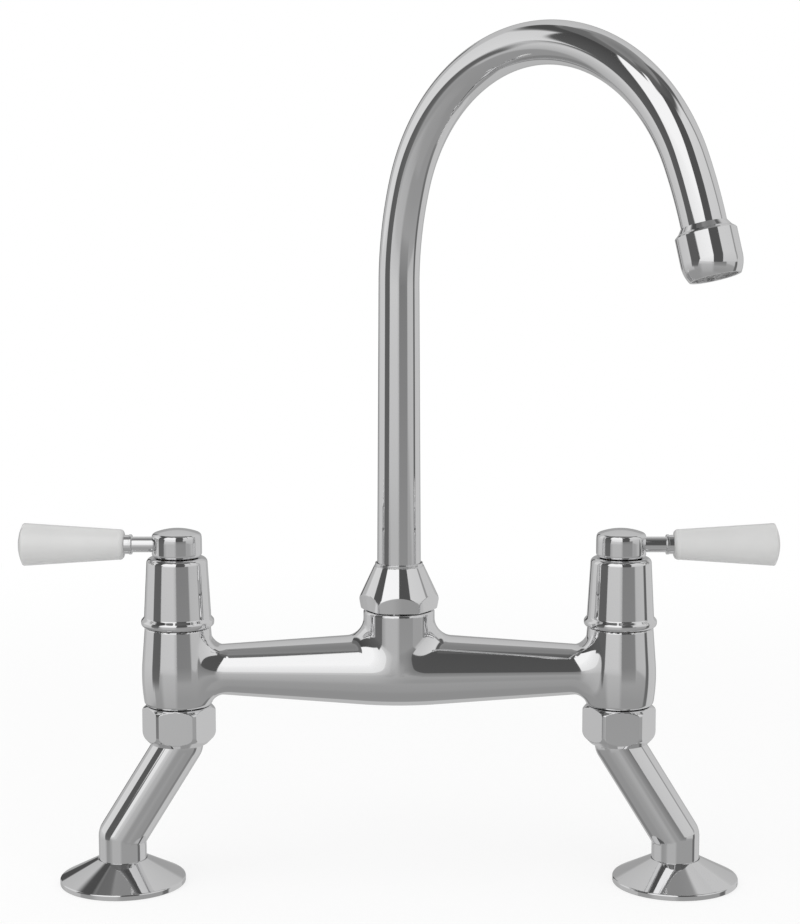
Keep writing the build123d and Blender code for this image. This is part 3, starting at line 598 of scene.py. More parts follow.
def spout_nut_distance(p, edge):
    """Distance to the domed spout nut with its six leaning, slightly curved facets."""
    low, high, shoulder, radius = 129.3, 150.6, 134.6, 18.15
    shoulder_rounding, foot_rounding = 5.0, 1.4
    facet_radius, facet_lean, facet_bulge = 15.78, 0.179, 58.0
    facet_rounding, facet_cosine = 1.0, 0.83
    rim_height, rim_radius, rim_rounding, neck_radius = 1.3, 10.95, 0.2, 11.3
    hole_radius, thread_radius, chamber_radius, chamber_top = 10.35, 14.2, 13.2, 143.0
    z = p[:, 2]
    out = np.hypot(p[:, 0], p[:, 1])
    dome_top, rim_foot = high - rim_height, low + 5
    dome, run = cone(out, z, (radius, shoulder), (neck_radius, dome_top))
    body = keep(out - radius, dome, shoulder_rounding, run[1])
    body = keep(body, low - z, foot_rounding)
    facets = six_sides(p - [0, 0, low], facet_radius, edge, facet_lean, facet_bulge)
    body = keep(body, facets, facet_rounding, facet_cosine)
    body = keep(body, z - dome_top, FINE_EDGE)
    rim = keep(out - rim_radius, z - high, rim_rounding)
    body = np.minimum(body, np.maximum(rim, rim_foot - z))
    thread = np.maximum(out - thread_radius, z - THREAD_TOP_Z)
    chamber = np.maximum(out - chamber_radius, z - chamber_top)
    bore = np.minimum(np.minimum(out - hole_radius, thread), chamber)
    return keep(body, -bore, FINE_EDGE)


def hub_distance(p):
    """Distance to a handle hub about the Z axis, with its lever towards +X."""
    low, high, radius, dome_radius = 153.1, 166.1, 11.45, 28.0
    shoulder_height, shoulder_bend = 5.7, 36
    foot_rounding, top_rounding, top_cosine = 1.8, 2.0, 0.5
    recess_radius, recess_depth, shaft_radius, shaft_top = 7.0, 1.2, 4.05, 161.6
    socket_radius, socket_start, screw_radius, hollow_edge = 3.0, 5.0, 2.0, 0.12
    sink_radius, sink_slope, sink_lean, sink_edge = 3.6, 1.083, 0.678, 0.2
    x, y, z = p.T
    out = np.hypot(x, y)
    bend = np.maximum(z - high + shoulder_height, 0) ** 2 / shoulder_bend
    body = keep(out - radius + bend, low - z, foot_rounding)
    dome = np.sqrt(out * out + (z - high + dome_radius) ** 2) - dome_radius
    body = keep(body, dome, top_rounding, top_cosine)
    recess = np.maximum(out - recess_radius, z - low - recess_depth)
    shaft = np.maximum(out - shaft_radius, z - shaft_top)
    across = np.hypot(y, z - LEVER_Z)
    socket = np.maximum(across - socket_radius, socket_start - x)
    screw = np.maximum(np.hypot(x, z - LEVER_Z) - screw_radius, -y)
    flare = (across - sink_radius - (x - ROD_START) * sink_slope) * sink_lean
    body = keep(body, -np.maximum(flare, ROD_START - x), sink_edge)
    for hollow in (recess, shaft, socket, screw):
        body = keep(body, -hollow, hollow_edge)
    return body


def leg_distance(p):
    """Distance to a leg: bent tube, union collar and threaded foot."""
    x, y, z = p.T
    beyond = 20.0  # how far the middle line runs on past both ends
    knees = (
        (0.0, LEG_TOP_Z + beyond),
        (0.0, LEG_UPPER_BEND_Z),
        (FOOT_OFFSET, LEG_LOWER_BEND_Z),
        (FOOT_OFFSET, -beyond),
    )
    runs = []
    for (x0, z0), (x1, z1) in zip(knees, knees[1:]):
        run_x, run_z = x1 - x0, z1 - z0
        along = ((x - x0) * run_x + (z - z0) * run_z) / (run_x**2 + run_z**2)
        along = np.clip(along, 0, 1)
        off_x, off_z = x - x0 - along * run_x, z - z0 - along * run_z
        runs.append(np.sqrt(off_x**2 + y * y + off_z**2))
    middle = np.minimum.reduce(runs)
    body = np.maximum(middle - LEG_RADIUS, np.maximum(-z, z - LEG_TOP_Z))
    collar = column(p, 0, LEG_COLLAR_RADIUS, LEG_COLLAR_Z, LEG_TOP_Z)
    foot = column(p, FOOT_OFFSET, FOOT_RADIUS, 0.0, FOOT_TOP_Z)
    body = np.minimum(np.minimum(body, collar), foot)
    socket = np.maximum(np.hypot(x - FOOT_OFFSET, y) - SOCKET_RADIUS, z - SOCKET_DEPTH)
    return np.maximum(body, -np.minimum(middle - LEG_BORE_RADIUS, socket))


def flange_outline():
    """Outline of the hollow conical cover plate."""
    radius, rim, slope, hole, wall = 29.0, 2.4, 0.52, 11.15, 1.7
    top = rim + slope * (radius - hole)
    drop = wall * math.hypot(1, slope)
    inner = radius - wall
    outside = [(radius, 0, 0.25), (radius, rim, 0.8), (hole, top, 0.3)]
    inside = [(hole, top - drop), (inner, rim + slope * wall - drop)]
    return rounded([(inner, 0), *outside, *inside])


def shroud_outline():
    """Outline of the tapered shroud with the bead round its foot."""
    top, foot, top_radius, foot_radius = 152.9, BARREL_Z[3] + 0.3, 13.8, 15.6
    hole, wall, cap = 8.55, 1.4, 2.5
    bead_radii, bead_middle, bead_top = (16.65, 16.7), 2.9, 4.5
    taper = (foot_radius - top_radius) / (top - foot)
    inside = [(hole, top - cap), (top_radius + cap * taper - wall, top - cap)]
    bead = [(bead_radii[0], foot, 1.7), (bead_radii[1], foot + bead_middle, 1.5)]
    side = [(foot_radius - bead_top * taper, foot + bead_top, 0.8), (top_radius, top, 2.4)]
    return rounded([*inside, (foot_radius - wall, foot), *bead, *side, (hole, top)])


def stepped(starts, radii):
    """Corners of steps along an axis: a start for each radius, and the end of the last."""
    runs = zip(radii, starts, starts[1:])
    return [(radius, place) for radius, *ends in runs for place in ends]


def rod_outline():
    """Outline of the lever rod with its stub in the hub and its tang in the grip."""
    stub, rod, tang = 2.95, 3.55, 2.5
    steps = stepped((STUB_START, ROD_START, FERRULE_START, TANG_END), (stub, rod, tang))
    return rounded([(0, STUB_START), *steps, (0, TANG_END)])


def ferrule_outline():
    """Outline of the ferrule, a round ring and a sleeve."""
    ring, sleeve, ring_end = 4.6, 4.35, 21.7
    start, end = (TANG_HOLE_RADIUS, FERRULE_START), (TANG_HOLE_RADIUS, GRIP_START)
    outside = [(ring, FERRULE_START, 0.5), (ring, ring_end, 0.2), (sleeve, ring_end)]
    return rounded([start, *outside, (sleeve, GRIP_START), end])


def grip_outline():
    """Outline of the ceramic grip with the hole for the tang."""
    hole_end = TANG_END + 1
    neck = arc_corners((5.0, GRIP_START), (6.5, 24.6), (6.95, 26.4), 12)
    tip = arc_corners(GRIP_EDGE, (4.875, 71.624), (0.0, 72.2), 20)
    hole = [(0, hole_end), (TANG_HOLE_RADIUS, hole_end)]
    return rounded([(TANG_HOLE_RADIUS, GRIP_START), *neck, (*GRIP_EDGE, 0.7), *tip[2:], *hole])


def end_collar_outline():
    """Outline of the threaded ring on the end of the spout."""
    rim, seat, bore, thread = 9.4, 9.25, 8.6, 10.9
    thread_start, seat_end, length = 2.2, 4.0, 10.0
    outside = [(rim, 0), (thread, thread_start), (thread, length)]
    inside = [(bore, length), (bore, seat_end), (seat, seat_end)]
    return rounded([(seat, 0), *outside, *inside])


def housing_outline():
    """Outline of the aerator housing, narrowing to the mouth."""
    side, rim, thread, bore, mouth = 12.4, 12.0, 11.0, 10.6, 9.2
    start, thread_end, bore_end, length = 2.2, 10.05, 19.0, 21.3
    taper = arc_corners((10.4, length), (11.9, 17.8), (side, 14.3), 14)
    inside = stepped((start, thread_end, bore_end), (thread, bore))
    end = [(mouth, bore_end), (mouth, length, 0.2)]
    return rounded([*taper, (side, 3.5), (rim, 3.0, 0.2), *inside, *end])


def spout_line():
    """Points and headings of the gooseneck's middle line, in the plane it swings in.

    Also gives the end of the last bend and the heading's angle there.
    """
    straight_rings, least_rings, ring_degrees = 40, 6, 1.2
    heights = np.linspace(SPOUT_BASE_Z, SPOUT_STRAIGHT_TOP_Z, straight_rings)
    points = [(0.0, z) for z in heights]
    headings = [(0.0, 1.0)] * len(points)
    point, angle = np.array([0.0, SPOUT_STRAIGHT_TOP_Z]), 0.0
    for radius, degrees in SPOUT_ARCS:
        turn = math.radians(degrees)
        centre = point + radius * np.array([math.cos(angle), -math.sin(angle)])
        steps = max(least_rings, round(degrees / ring_degrees))
        for step in range(1, steps + 1):
            now = angle + turn * step / steps
            points.append(tuple(centre + radius * np.array([-math.cos(now), math.sin(now)])))
            headings.append((math.sin(now), math.cos(now)))
        point, angle = np.array(points[-1]), angle + turn
    heading = np.array([math.sin(angle), math.cos(angle)])
    points.append(tuple(point + heading * SPOUT_END_STRAIGHT))
    headings.append(tuple(heading))
    return np.array(points), np.array(headings), point, angle


def gooseneck_form(steps):
    """Mesh of the gooseneck, outside and bore, with its true normals."""
    points, headings, _, _ = spout_line()
    angles = np.arange(steps) * 2 * math.pi / steps
    heights = [SPOUT_BASE_Z, SPOUT_STRAIGHT_TOP_Z]
    radii = np.interp(points[:, 1], heights, [SPOUT_BASE_RADIUS, SPOUT_RADIUS])
    radii[points[:, 0] > 0] = SPOUT_RADIUS
    order = [(i, radius, 1) for i, radius in enumerate(radii)]
    order += [(i, SPOUT_BORE_RADIUS, -1) for i in reversed(range(len(radii)))]
    vertices, normals, faces = [], [], []
    for i, radius, facing in order:
        side = np.array([headings[i][1], -headings[i][0]])
        directions = np.stack(
            [np.cos(angles) * side[0], np.sin(angles), np.cos(angles) * side[1]], axis=1
        )
        vertices.append([points[i][0], 0, points[i][1]] + radius * directions)
        normals.append(facing * directions)
    for ring in range(len(order)):
        here, after = ring * steps, (ring + 1) % len(order) * steps
        for i in range(steps):
            j = (i + 1) % steps
            faces.append([here + i, here + j, after + j, after + i])
    return moved((np.concatenate(vertices), faces, np.concatenate(normals)), swing())


def swing():
    """Matrix that turns the spout's plane to its rest position."""
    cosine, sine = math.cos(SPOUT_AZIMUTH), math.sin(SPOUT_AZIMUTH)
    return np.array([[cosine, -sine, 0], [sine, cosine, 0], [0, 0, 1]])


def at_spout_end(form):
    """Move a form made along the Z axis to the spout's end, pointing out of its mouth."""
    _, _, end, angle = spout_line()
    heading = np.array([math.sin(angle), 0, math.cos(angle)])
    turn = np.stack([np.cross([0, 1, 0], heading), [0, 1, 0], heading], axis=1)
    return moved(form, swing() @ turn, swing() @ [end[0], 0, end[1]])


# Finishes -----------------------------------------------------------------------------

NOISE_SPAN = (0.35, 0.65)  # levels that the noise mostly keeps between
RELIEF_DEPTH = 0.00001

# Two tones, metallic, roughness and grain of the finishes of hidden pieces
HIDDEN_FINISHES = {
    "brass": (((0.60, 0.45, 0.20), (0.70, 0.54, 0.27)), 1.0, 0.3, 90.0),
    "disc_ceramic": (((0.78, 0.77, 0.74), (0.84, 0.83, 0.80)), 0.0, 0.25, 120.0),
    "rubber": (((0.018, 0.018, 0.018), (0.03, 0.03, 0.03)), 0.0, 0.6, 150.0),
    "fibre": (((0.16, 0.20, 0.17), (0.22, 0.26, 0.22)), 0.0, 0.85, 200.0),
    "plastic": (((0.20, 0.20, 0.20), (0.24, 0.24, 0.24)), 0.0, 0.35, 100.0),
    "spring_steel": (((0.46, 0.46, 0.47), (0.56, 0.56, 0.57)), 1.0, 0.28, 140.0),
}


def new_finish(name):
    """New node material: the material, its tree and its Principled shader."""
    finish = bpy.data.materials.new(name)
    finish.use_nodes = True
    return finish, finish.node_tree, finish.node_tree.nodes["Principled BSDF"]


def feed(tree, node, inputs):
    """Give a node's inputs their constants or the outputs that drive them."""
    for name, value in inputs.items():
        if isinstance(value, bpy.types.NodeSocket):
            tree.links.new(value, node.inputs[name])
        else:
            node.inputs[name].default_value = value


def add(tree, kind, inputs=None, **settings):
    """New node with its settings and inputs."""
    node = tree.nodes.new(kind)
    for name, value in settings.items():
        setattr(node, name, value)
    feed(tree, node, inputs or {})
    return node


def noise_value(tree, scale, detail):
    """Value of a noise that is fixed to the object."""
    place = add(tree, "ShaderNodeTexCoord").outputs["Object"]
    inputs = {"Vector": place, "Scale": scale, "Detail": detail}
    return add(tree, "ShaderNodeTexNoise", inputs).outputs["Fac"]


def mapped(tree, value, span, levels, kind="LINEAR"):
    """A value that goes from one level to the other while another crosses its span."""
    names = ("Value", "From Min", "From Max", "To Min", "To Max")
    inputs = dict(zip(names, (value, *span, *levels)))
    return add(tree, "ShaderNodeMapRange", inputs, interpolation_type=kind).outputs["Result"]


def computed(tree, operation, first, second):
    """Sum or product of two values, kept between 0 and 1."""
    inputs = {0: first, 1: second}
    return add(tree, "ShaderNodeMath", inputs, operation=operation, use_clamp=True).outputs[0]


def mixed(tree, share, first, second):
    """The first shader where a share is 0, the second where it is 1."""
    return add(tree, "ShaderNodeMixShader", {"Fac": share, 1: first, 2: second}).outputs[0]


def varied(tree, scale, level, spread):
    """A value that wanders about a level by a share of it, with fine noise."""
    levels = ((1 - spread) * level, (1 + spread) * level)
    return mapped(tree, noise_value(tree, scale, detail=4.0), NOISE_SPAN, levels)


def relief(tree, scale):
    """Normal of a fine noise relief."""
    height = noise_value(tree, scale, detail=2.0)
    inputs = {"Strength": 1.0, "Distance": RELIEF_DEPTH, "Height": height}
    return add(tree, "ShaderNodeBump", inputs).outputs["Normal"]


def tinted(tree, scale, tones):
    """A colour that wanders between two tones."""
    ramp = add(tree, "ShaderNodeValToRGB", {"Fac": noise_value(tree, scale, detail=5.0)})
    for element, position, tone in zip(ramp.color_ramp.elements, NOISE_SPAN, tones):
        element.position = position
        element.color = (*tone, 1)
    return ramp.outputs["Color"]


def chrome_finish(settings):
    """Polished chrome plate."""
    finish, tree, shader = new_finish("chrome_plate")
    colour = settings.chrome_colour
    roughness = varied(tree, 180.0, settings.chrome_roughness, spread=0.2)
    feed(tree, shader, {"Metallic": 1.0, "Base Color": colour, "Roughness": roughness})
    return finish


def ceramic_finish(settings):
    """White glazed ceramic: a soft body colour under a clear glaze."""
    finish, tree, shader = new_finish("glazed_ceramic")
    white = settings.ceramic_colour[:3]
    tones = ([0.985 * c for c in white], [min(1, 1.01 * c) for c in white])
    glaze = {"Roughness": 0.3, "Coat Weight": 0.6, "Coat Roughness": 0.08}
    feed(tree, shader, {"Base Color": tinted(tree, scale=60.0, tones=tones), **glaze})
    return finish


def plain_finish(name, tones, metallic, roughness, grain):
    """Finish of a hidden piece: two close tones, a grain and a fine relief."""
    finish, tree, shader = new_finish(name)
    inputs = {
        "Metallic": metallic,
        "Base Color": tinted(tree, grain, tones),
        "Roughness": varied(tree, 3 * grain, roughness, spread=0.15),
        "Normal": relief(tree, 5 * grain),
    }
    feed(tree, shader, inputs)
    return finish


def finish_named(name):
    """The finish of a slot, made when it is first asked for."""
    found = bpy.data.materials.get(f"{name}_finish")
    if found:
        return found
    settings = bpy.context.scene.faucet_finish
    if name == "chrome_plate":
        finish = chrome_finish(settings)
    elif name == "white_ceramic":
        finish = ceramic_finish(settings)
    else:
        finish = plain_finish(name, *HIDDEN_FINISHES[name])
    finish.name = f"{name}_finish"
    return finish


# Operators ----------------------------------------------------------------------------


class FAUCET_OT_casting(bpy.types.Operator):
    """Make the bridge casting"""

    bl_idname = "faucet.casting"
    bl_label = "Bridge Casting"

    def execute(self, context):
        pitch = context.scene.faucet_shape.casting_pitch
        form = skin(casting_distance, (-119, -18, 73), (119, 18, 140), pitch)
        make_piece("bridge_casting", form, "faucet_body", ["bridge_body"])
        return {"FINISHED"}


class FAUCET_OT_nuts(bpy.types.Operator):
    """Make the two union nuts and the spout nut"""

    bl_idname = "faucet.nuts"
    bl_label = "Nuts"

    def execute(self, context):
        shape = context.scene.faucet_shape
        edge, pitch = shape.nut_edge, shape.nut_pitch
        union = skin(lambda p: union_nut_distance(p, edge), (-18, -16, 66), (18, 16, 84), pitch)
        make_pairs("faucet_body", ("union_nut", "hex", union))
        domed = skin(lambda p: spout_nut_distance(p, edge), (-19, -19, 129), (19, 19, 151), pitch)
        make_piece("spout_nut_domed", domed, "faucet_body", ["spout_nut"])
        return {"FINISHED"}


class FAUCET_OT_legs(bpy.types.Operator):
    """Make the two slanted legs"""

    bl_idname = "faucet.legs"
    bl_label = "Legs"

    def execute(self, context):
        pitch = context.scene.faucet_shape.casting_pitch
        form = skin(leg_distance, (-12, -14, 0), (FOOT_OFFSET + 14, 14, 73), pitch)
        make_pairs("{}_leg_body", ("leg", "tube", form))
        return {"FINISHED"}


class FAUCET_OT_flanges(bpy.types.Operator):
    """Make the two deck flanges"""

    bl_idname = "faucet.flanges"
    bl_label = "Deck Flanges"

    def execute(self, context):
        form = turned(flange_outline(), context.scene.faucet_shape.turn_steps)
        form = moved(form, None, (FOOT_OFFSET, 0, 0))
        make_pairs("{}_leg_body", ("flange", "cover", form))
        return {"FINISHED"}


class FAUCET_OT_shrouds(bpy.types.Operator):
    """Make the two tapered shrouds"""

    bl_idname = "faucet.shrouds"
    bl_label = "Shrouds"

    def execute(self, context):
        form = turned(shroud_outline(), context.scene.faucet_shape.turn_steps)
        make_pairs("faucet_body", ("shroud", "sleeve", form))
        return {"FINISHED"}


class FAUCET_OT_handles(bpy.types.Operator):
    """Make the hubs, lever rods, ferrules and ceramic grips"""

    bl_idname = "faucet.handles"
    bl_label = "Handles"

    def execute(self, context):
        shape = context.scene.faucet_shape
        steps = shape.turn_steps
        hub = skin(hub_distance, (-12, -12, 153), (12, 12, 167), shape.nut_pitch)
        make_pairs(
            "{}_handle",
            ("handle_hub", "knob", hub),
            ("handle_rod", "bar", along_lever(turned(rod_outline(), steps // 2))),
            ("ferrule", "ring", along_lever(turned(ferrule_outline(), steps // 2))),
            ("grip", "handle", along_lever(turned(grip_outline(), steps)), "white_ceramic"),
        )
        return {"FINISHED"}


class FAUCET_OT_spout(bpy.types.Operator):
    """Make the gooseneck, its end collar and the aerator housing"""

    bl_idname = "faucet.spout"
    bl_label = "Spout"

    def execute(self, context):
        steps = context.scene.faucet_shape.turn_steps
        make_piece("gooseneck", gooseneck_form(steps), "spout", ["spout_tube"])
        collar = at_spout_end(turned(end_collar_outline(), steps))
        make_piece("spout_collar", collar, "spout", ["spout_end_collar"])
        housing = at_spout_end(turned(housing_outline(), steps))
        make_piece("aerator_sleeve", housing, "spout", ["aerator_housing"])
        return {"FINISHED"}


class FAUCET_OT_inner_pieces(bpy.types.Operator):
    """Give every piece that keeps the frame's mesh its finish"""

    bl_idname = "faucet.inner_pieces"
    bl_label = "Inner Pieces"

    def execute(self, context):
        slots = {row["node"]: row["material_slot"] for row in frame["record"]["subparts"]}
        for name, piece in frame["nodes"].items():
            if piece.hide_render:
                continue
            piece.data.materials.clear()
            piece.data.materials.append(finish_named(slots[name]))
        return {"FINISHED"}


class FAUCET_OT_studio(bpy.types.Operator):
    """Make the floor, the lights, the reflecting panels and the camera"""

    bl_idname = "faucet.studio"
    bl_label = "Studio"

    def execute(self, context):
        settings = context.scene.faucet_studio
        make_floor(settings)
        make_world()
        make_tent()
        make_lights(settings)
        make_camera()
        context.scene.view_settings.view_transform = "Standard"
        return {"FINISHED"}


def seen_rays(tree):
    """A value of 1 for rays that show the background: camera, glossy and see-through."""
    rays = add(tree, "ShaderNodeLightPath").outputs
    total = rays["Is Camera Ray"]
    for name in ("Is Glossy Ray", "Is Transmission Ray"):
        total = computed(tree, "ADD", total, rays[name])
    return total


def make_floor(settings):
    """Pale floor that stays near white and keeps the faucet's shadow."""
    bpy.ops.mesh.primitive_plane_add(size=8.0, location=(0, 0, -0.0002))
    floor = bpy.context.active_object
    floor.name = "floor"
    finish, tree, shader = new_finish("pale_floor")
    colour = settings.floor_colour
    feed(tree, shader, {"Base Color": colour, "Roughness": 0.9, "Specular IOR Level": 0.0})
    glow = add(tree, "ShaderNodeEmission", {"Strength": 1.0}).outputs["Emission"]
    place = add(tree, "ShaderNodeTexCoord").outputs["Object"]
    reach = add(tree, "ShaderNodeVectorMath", {0: place}, operation="LENGTH").outputs["Value"]
    white = mapped(tree, reach, FLOOR_FADE, FLOOR_GLOW, "SMOOTHSTEP")
    share = computed(tree, "MULTIPLY", seen_rays(tree), white)
    surface = mixed(tree, share, shader.outputs["BSDF"], glow)
    feed(tree, tree.nodes["Material Output"], {"Surface": surface})
    floor.data.materials.append(finish)
    floor.visible_glossy = False


def make_world():
    """White surroundings for the camera, softer light for everything else."""
    world = bpy.data.worlds.new("studio_world")
    bpy.context.scene.world = world
    world.use_nodes = True
    tree = world.node_tree
    soft, white = tree.nodes["Background"], add(tree, "ShaderNodeBackground")
    for light, strength in ((soft, 0.75), (white, 1.0)):
        feed(tree, light, {"Color": (1, 1, 1, 1), "Strength": strength})
    surface = mixed(tree, seen_rays(tree), soft.outputs[0], white.outputs[0])
    feed(tree, tree.nodes["World Output"], {"Surface": surface})


def square(left, right, foot, top):
    """Corners of a panel with level and upright edges."""
    return (left, foot), (right, foot), (right, top), (left, top)


# Panels of the round studio tent that the chrome mirrors. Each is (name, corners, tones,
# feathers): four corners (bearing, height) in degrees, from the lower left round to the
# upper left; how light it looks on the chrome at its foot and at its top; and how many
# degrees it fades over at its left, right, lower and upper edge. Bearing 0 is towards the
# camera, +90 to the right, height 0 the horizon. A later panel hangs in front.
TENT_PANELS = (
    ("floor_glow", square(-70, 50, -75, -30), (0.57, 0.60), (25, 25, 15, 8)),
    ("floor_shade", square(-152, -116, -60, -22), (0.49, 0.50), (4, 8, 8, 4)),
    ("back_low", square(130, 208, -68, -20), (0.71, 0.69), (3, 3, 4, 3)),
    ("back", square(125, 232, -23, 66), (0.65, 0.755), (3, 5, 3, 4)),
    ("back_door", square(158, 202, -10, 26), (0.60, 0.61), (8, 8, 6, 8)),
    ("wall_right_back", square(98, 146, -64, 52), (0.735, 0.75), (3, 3, 4, 4)),
    ("wall_right", square(33, 96, -1, 60), (0.75, 0.835), (2, 2, 2, 7)),
    ("wall_left", ((-128, -2), (-76, -2), (-76, 47), (-140, 47)), (0.835, 0.80), (12, 3, 3, 6)),
    ("skirting_left", square(-140, -76, -28, 1), (0.65, 0.79), (16, 3, 6, 2)),
    ("skirting_right", ((48, -7), (92, -15), (92, 1), (48, 1)), (0.68, 0.74), (3, 3, 3, 2)),
    ("skirting_front", square(-1, 48, -16, 0.5), (0.58, 0.455), (3, 3, 5, 1.5)),
    ("frieze_left", ((-146, 40), (-50, 44), (-50, 63), (-146, 63)), (0.30, 0.28), (6, 3, 8, 6)),
    ("frieze_left_top", square(-150, -16, 57, 75), (0.39, 0.42), (6, 6, 4, 5)),
    ("frieze_right", square(-6, 98, 56, 72), (0.30, 0.36), (4, 4, 4, 3)),
    ("frieze_corner", ((95, 42), (124, 46), (124, 72), (95, 72)), (0.33, 0.36), (4, 4, 5, 3)),
    ("roof_shade", square(-36, 66, 62, 84), (0.34, 0.40), (20, 26, 3, 8)),
    ("table_glow", square(-56, 5, -44, -3), (0.60, 0.71), (16, 14, 14, 3)),
    ("table_edge", square(-57, 4, -10, 1), (0.71, 0.80), (6, 16, 3, 1.5)),
    ("softbox", ((-60, -1), (2, -1), (1, 61.5), (-61, 61.5)), (0.955, 0.955), (2, 2, 1.5, 2.5)),
    ("softbox_top", ((-26, 56), (-9, 56), (-10, 70), (-24, 70)), (0.955, 0.955), (3, 3, 2, 2)),
    ("softbox_foot", ((-60, -1), (2, -1), (0, 28), (-60, 28)), (0.87, 0.95), (2, 2, 1.5, 8)),
    ("flag_left_foot", ((-86, -20), (-60, -20), (-46, 9), (-88, 9)), (0.41, 0.31), (3, 3, 8, 2)),
    ("flag_left", ((-82, 0), (-54, 0), (-60, 60), (-97, 60)), (0.35, 0.26), (2.5, 2.5, 2, 4)),
    ("flag_right", ((-1, -1.5), (34, -1.5), (46, 66), (0, 66)), (0.315, 0.30), (2, 3, 1, 4)),
    ("post_right", ((93, 3), (103, 3), (106, 56), (92, 56)), (0.58, 0.50), (4, 4, 3, 4)),
    ("post_low", ((74, -56), (98, -56), (99, 0), (84, 0)), (0.49, 0.34), (7, 3, 10, 2)),
    ("post_left", square(-162, -150, -13, 28), (0.29, 0.29), (2, 2, 4, 2)),
)

# The tent behind the panels: how light it looks at heights in degrees
TABLE_TONES = ((-90, 0.55), (-25, 0.57), (-6, 0.62))
WALL_TONES = ((0, 0.70), (55, 0.70))
ROOF_TONES = ((60, 0.40), (69, 0.42), (74, 0.48), (90, 0.465))
TENT_RADIUS = 10.0
TENT_GAP = 0.2  # from the tent to its first panel
PANEL_GAP = 0.05
PANEL_CELL = 3  # degrees


def tone_strength(tone):
    """Strength of an emission that looks as light as a tone when chrome mirrors it."""
    linear = ((tone + 0.055) / 1.055) ** 2.4
    return linear / bpy.context.scene.faucet_finish.chrome_colour[1]


def make_tent():
    """Round tent of panels and flags, there only for what the chrome mirrors."""
    hang("tent", square(-180, 180, -90, 90), TENT_RADIUS + TENT_GAP, tent_finish())
    for order, (name, corners, tones, feathers) in enumerate(TENT_PANELS):
        a, b, c, d = np.array(corners, float)
        width, height = (b + c - a - d)[0] / 2, (c + d - a - b)[1] / 2
        spans = (width, width, height, height)
        shares = [feather / span for feather, span in zip(feathers, spans)]
        finish = panel_finish(name, tones, shares)
        hang(f"panel_{name}", corners, TENT_RADIUS - PANEL_GAP * order, finish)


def hang(name, corners, radius, finish):
    """Hang one panel of the tent, curved round the faucet."""
    corners = np.array(corners, float)
    columns, rows = np.maximum(2, np.ptp(corners, axis=0) // PANEL_CELL).astype(int)
    vertices, faces, places = [], [], []
    for j in range(rows + 1):
        left = corners[0] + (corners[3] - corners[0]) * j / rows
        right = corners[1] + (corners[2] - corners[1]) * j / rows
        for i in range(columns + 1):
            bearing, height = np.radians(left + (right - left) * i / columns)
            out, up = radius * math.cos(height), radius * math.sin(height)
            vertices.append((out * math.sin(bearing), -out * math.cos(bearing), up))
            places.append((i / columns, j / rows))
    for j in range(rows):
        for i in range(columns):
            first = j * (columns + 1) + i
            faces.append((first, first + 1, first + columns + 2, first + columns + 1))
    mesh = bpy.data.meshes.new(name)
    mesh.from_pydata(vertices, [], faces)
    layer = mesh.uv_layers.new(name="UVMap")
    for loop in mesh.loops:
        layer.data[loop.index].uv = places[loop.vertex_index]
    mesh.materials.append(finish)
    panel = bpy.data.objects.new(name, mesh)
    panel.location = FAUCET_MIDDLE
    bpy.context.scene.collection.objects.link(panel)
    for ray in ("camera", "diffuse", "transmission", "volume_scatter", "shadow"):
        setattr(panel, f"visible_{ray}", False)


def new_cloth(name):
    """New cloth of the tent: material, tree, places across and up a panel, and output."""
    finish, tree, _ = new_finish(name)
    tree.nodes.clear()
    places = add(tree, "ShaderNodeUVMap", uv_map="UVMap").outputs["UV"]
    split = add(tree, "ShaderNodeSeparateXYZ", {"Vector": places}).outputs
    return finish, tree, split["X"], split["Y"], add(tree, "ShaderNodeOutputMaterial")


def panel_finish(name, tones, feathers):
    """Lit cloth, a little lighter or darker towards its top, that fades out at its edges."""
    finish, tree, x, y, output = new_cloth(f"panel_{name}")
    left, right, foot, top = feathers
    share = None
    for value, span in ((x, (0, left)), (x, (1, 1 - right)), (y, (0, foot)), (y, (1, 1 - top))):
        rise = mapped(tree, value, span, (0, 1), "SMOOTHSTEP")
        share = rise if share is None else computed(tree, "MULTIPLY", share, rise)
    strength = mapped(tree, y, (0, 1), [tone_strength(tone) for tone in tones])
    glow = add(tree, "ShaderNodeEmission", {"Strength": strength}).outputs["Emission"]
    clear = add(tree, "ShaderNodeBsdfTransparent").outputs["BSDF"]
    feed(tree, output, {"Surface": mixed(tree, share, clear, glow)})
    return finish


def tent_finish():
    """Grey cloth of the tent: table below, pale walls, dark frieze, grey roof."""
    finish, tree, _, y, output = new_cloth("tent_cloth")
    ramp = add(tree, "ShaderNodeValToRGB", {"Fac": y})
    elements = ramp.color_ramp.elements
    for i, (height, tone) in enumerate(TABLE_TONES + WALL_TONES + ROOF_TONES):
        element = elements[i] if i < 2 else elements.new(0.5)
        element.position = (height + 90) / 180
        element.color = (*[tone_strength(tone)] * 3, 1)
    glow = add(tree, "ShaderNodeEmission", {"Color": ramp.outputs["Color"]})
    feed(tree, output, {"Surface": glow.outputs["Emission"]})
    return finish


def make_lights(settings):
    """Large soft lights that the chrome doesn't mirror, aimed at the faucet."""
    rows = (
        ("key_light", (-0.5, -0.7, 1.6), 1.6, settings.key_power),
        ("fill_light", (0.9, -1.3, 0.9), 1.4, settings.fill_power),
    )
    for name, place, size, power in rows:
        data = bpy.data.lights.new(name, "AREA")
        data.size = size
        data.energy = power
        lamp = bpy.data.objects.new(name, data)
        bpy.context.scene.collection.objects.link(lamp)
        lamp.location = place
        lamp.visible_glossy = False
        direction = Vector(FAUCET_MIDDLE) - lamp.location
        lamp.rotation_euler = direction.to_track_quat("-Z", "Y").to_euler()


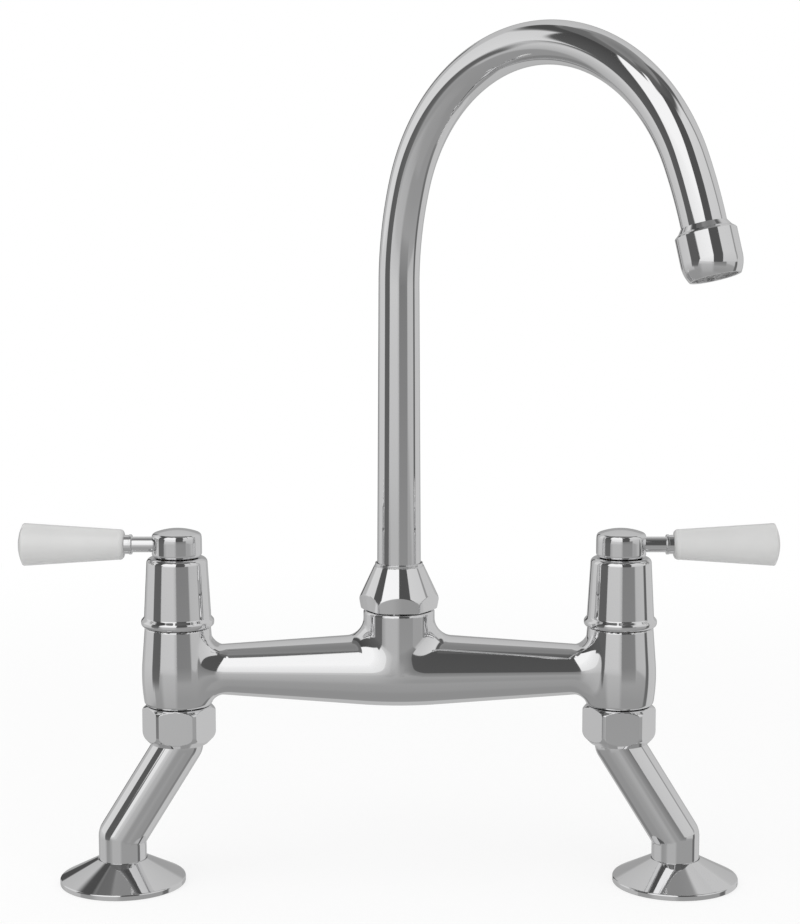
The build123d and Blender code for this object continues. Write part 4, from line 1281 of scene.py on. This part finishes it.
def make_camera():
    """Camera with the photograph's place, tilt and angle of view."""
    data = bpy.data.cameras.new("camera")
    data.sensor_fit = "VERTICAL"
    data.sensor_height = 36.0
    data.lens = CAMERA_LENS
    data.clip_end = 50.0
    camera = bpy.data.objects.new("camera", data)
    bpy.context.scene.collection.objects.link(camera)
    camera.location = CAMERA_PLACE
    camera.rotation_euler = (math.radians(90 - CAMERA_TILT), 0, 0)
    bpy.context.scene.camera = camera


class FAUCET_PT_panel(bpy.types.Panel):
    """Lists the faucet's settings and operators"""

    bl_idname = "FAUCET_PT_panel"
    bl_label = "Bridge Faucet"
    bl_space_type = "VIEW_3D"
    bl_region_type = "UI"
    bl_category = "Faucet"

    def draw(self, context):
        layout = self.layout
        scene = context.scene
        for group in (scene.faucet_shape, scene.faucet_finish, scene.faucet_studio):
            box = layout.box()
            for name in group.bl_rna.properties.keys():
                if name not in ("rna_type", "name"):
                    box.prop(group, name)
        for operator in OPERATORS:
            layout.operator(operator.bl_idname)


OPERATORS = (
    FAUCET_OT_casting,
    FAUCET_OT_nuts,
    FAUCET_OT_legs,
    FAUCET_OT_flanges,
    FAUCET_OT_shrouds,
    FAUCET_OT_handles,
    FAUCET_OT_spout,
    FAUCET_OT_inner_pieces,
    FAUCET_OT_studio,
)
GROUPS = {
    "faucet_shape": FaucetShape,
    "faucet_finish": FaucetFinish,
    "faucet_studio": StudioSettings,
}


def register():
    """Register the settings, the operators and the panel."""
    for name, group in GROUPS.items():
        bpy.utils.register_class(group)
        setattr(bpy.types.Scene, name, bpy.props.PointerProperty(type=group))
    for operator in OPERATORS:
        bpy.utils.register_class(operator)
    bpy.utils.register_class(FAUCET_PT_panel)


def unregister():
    """Take the panel, the operators and the settings away again."""
    bpy.utils.unregister_class(FAUCET_PT_panel)
    for operator in reversed(OPERATORS):
        bpy.utils.unregister_class(operator)
    for name, group in GROUPS.items():
        delattr(bpy.types.Scene, name)
        bpy.utils.unregister_class(group)


def main():
    register()
    for operator in OPERATORS:
        group, name = operator.bl_idname.split(".")
        getattr(getattr(bpy.ops, group), name)()


if __name__ == "__main__":
    main()
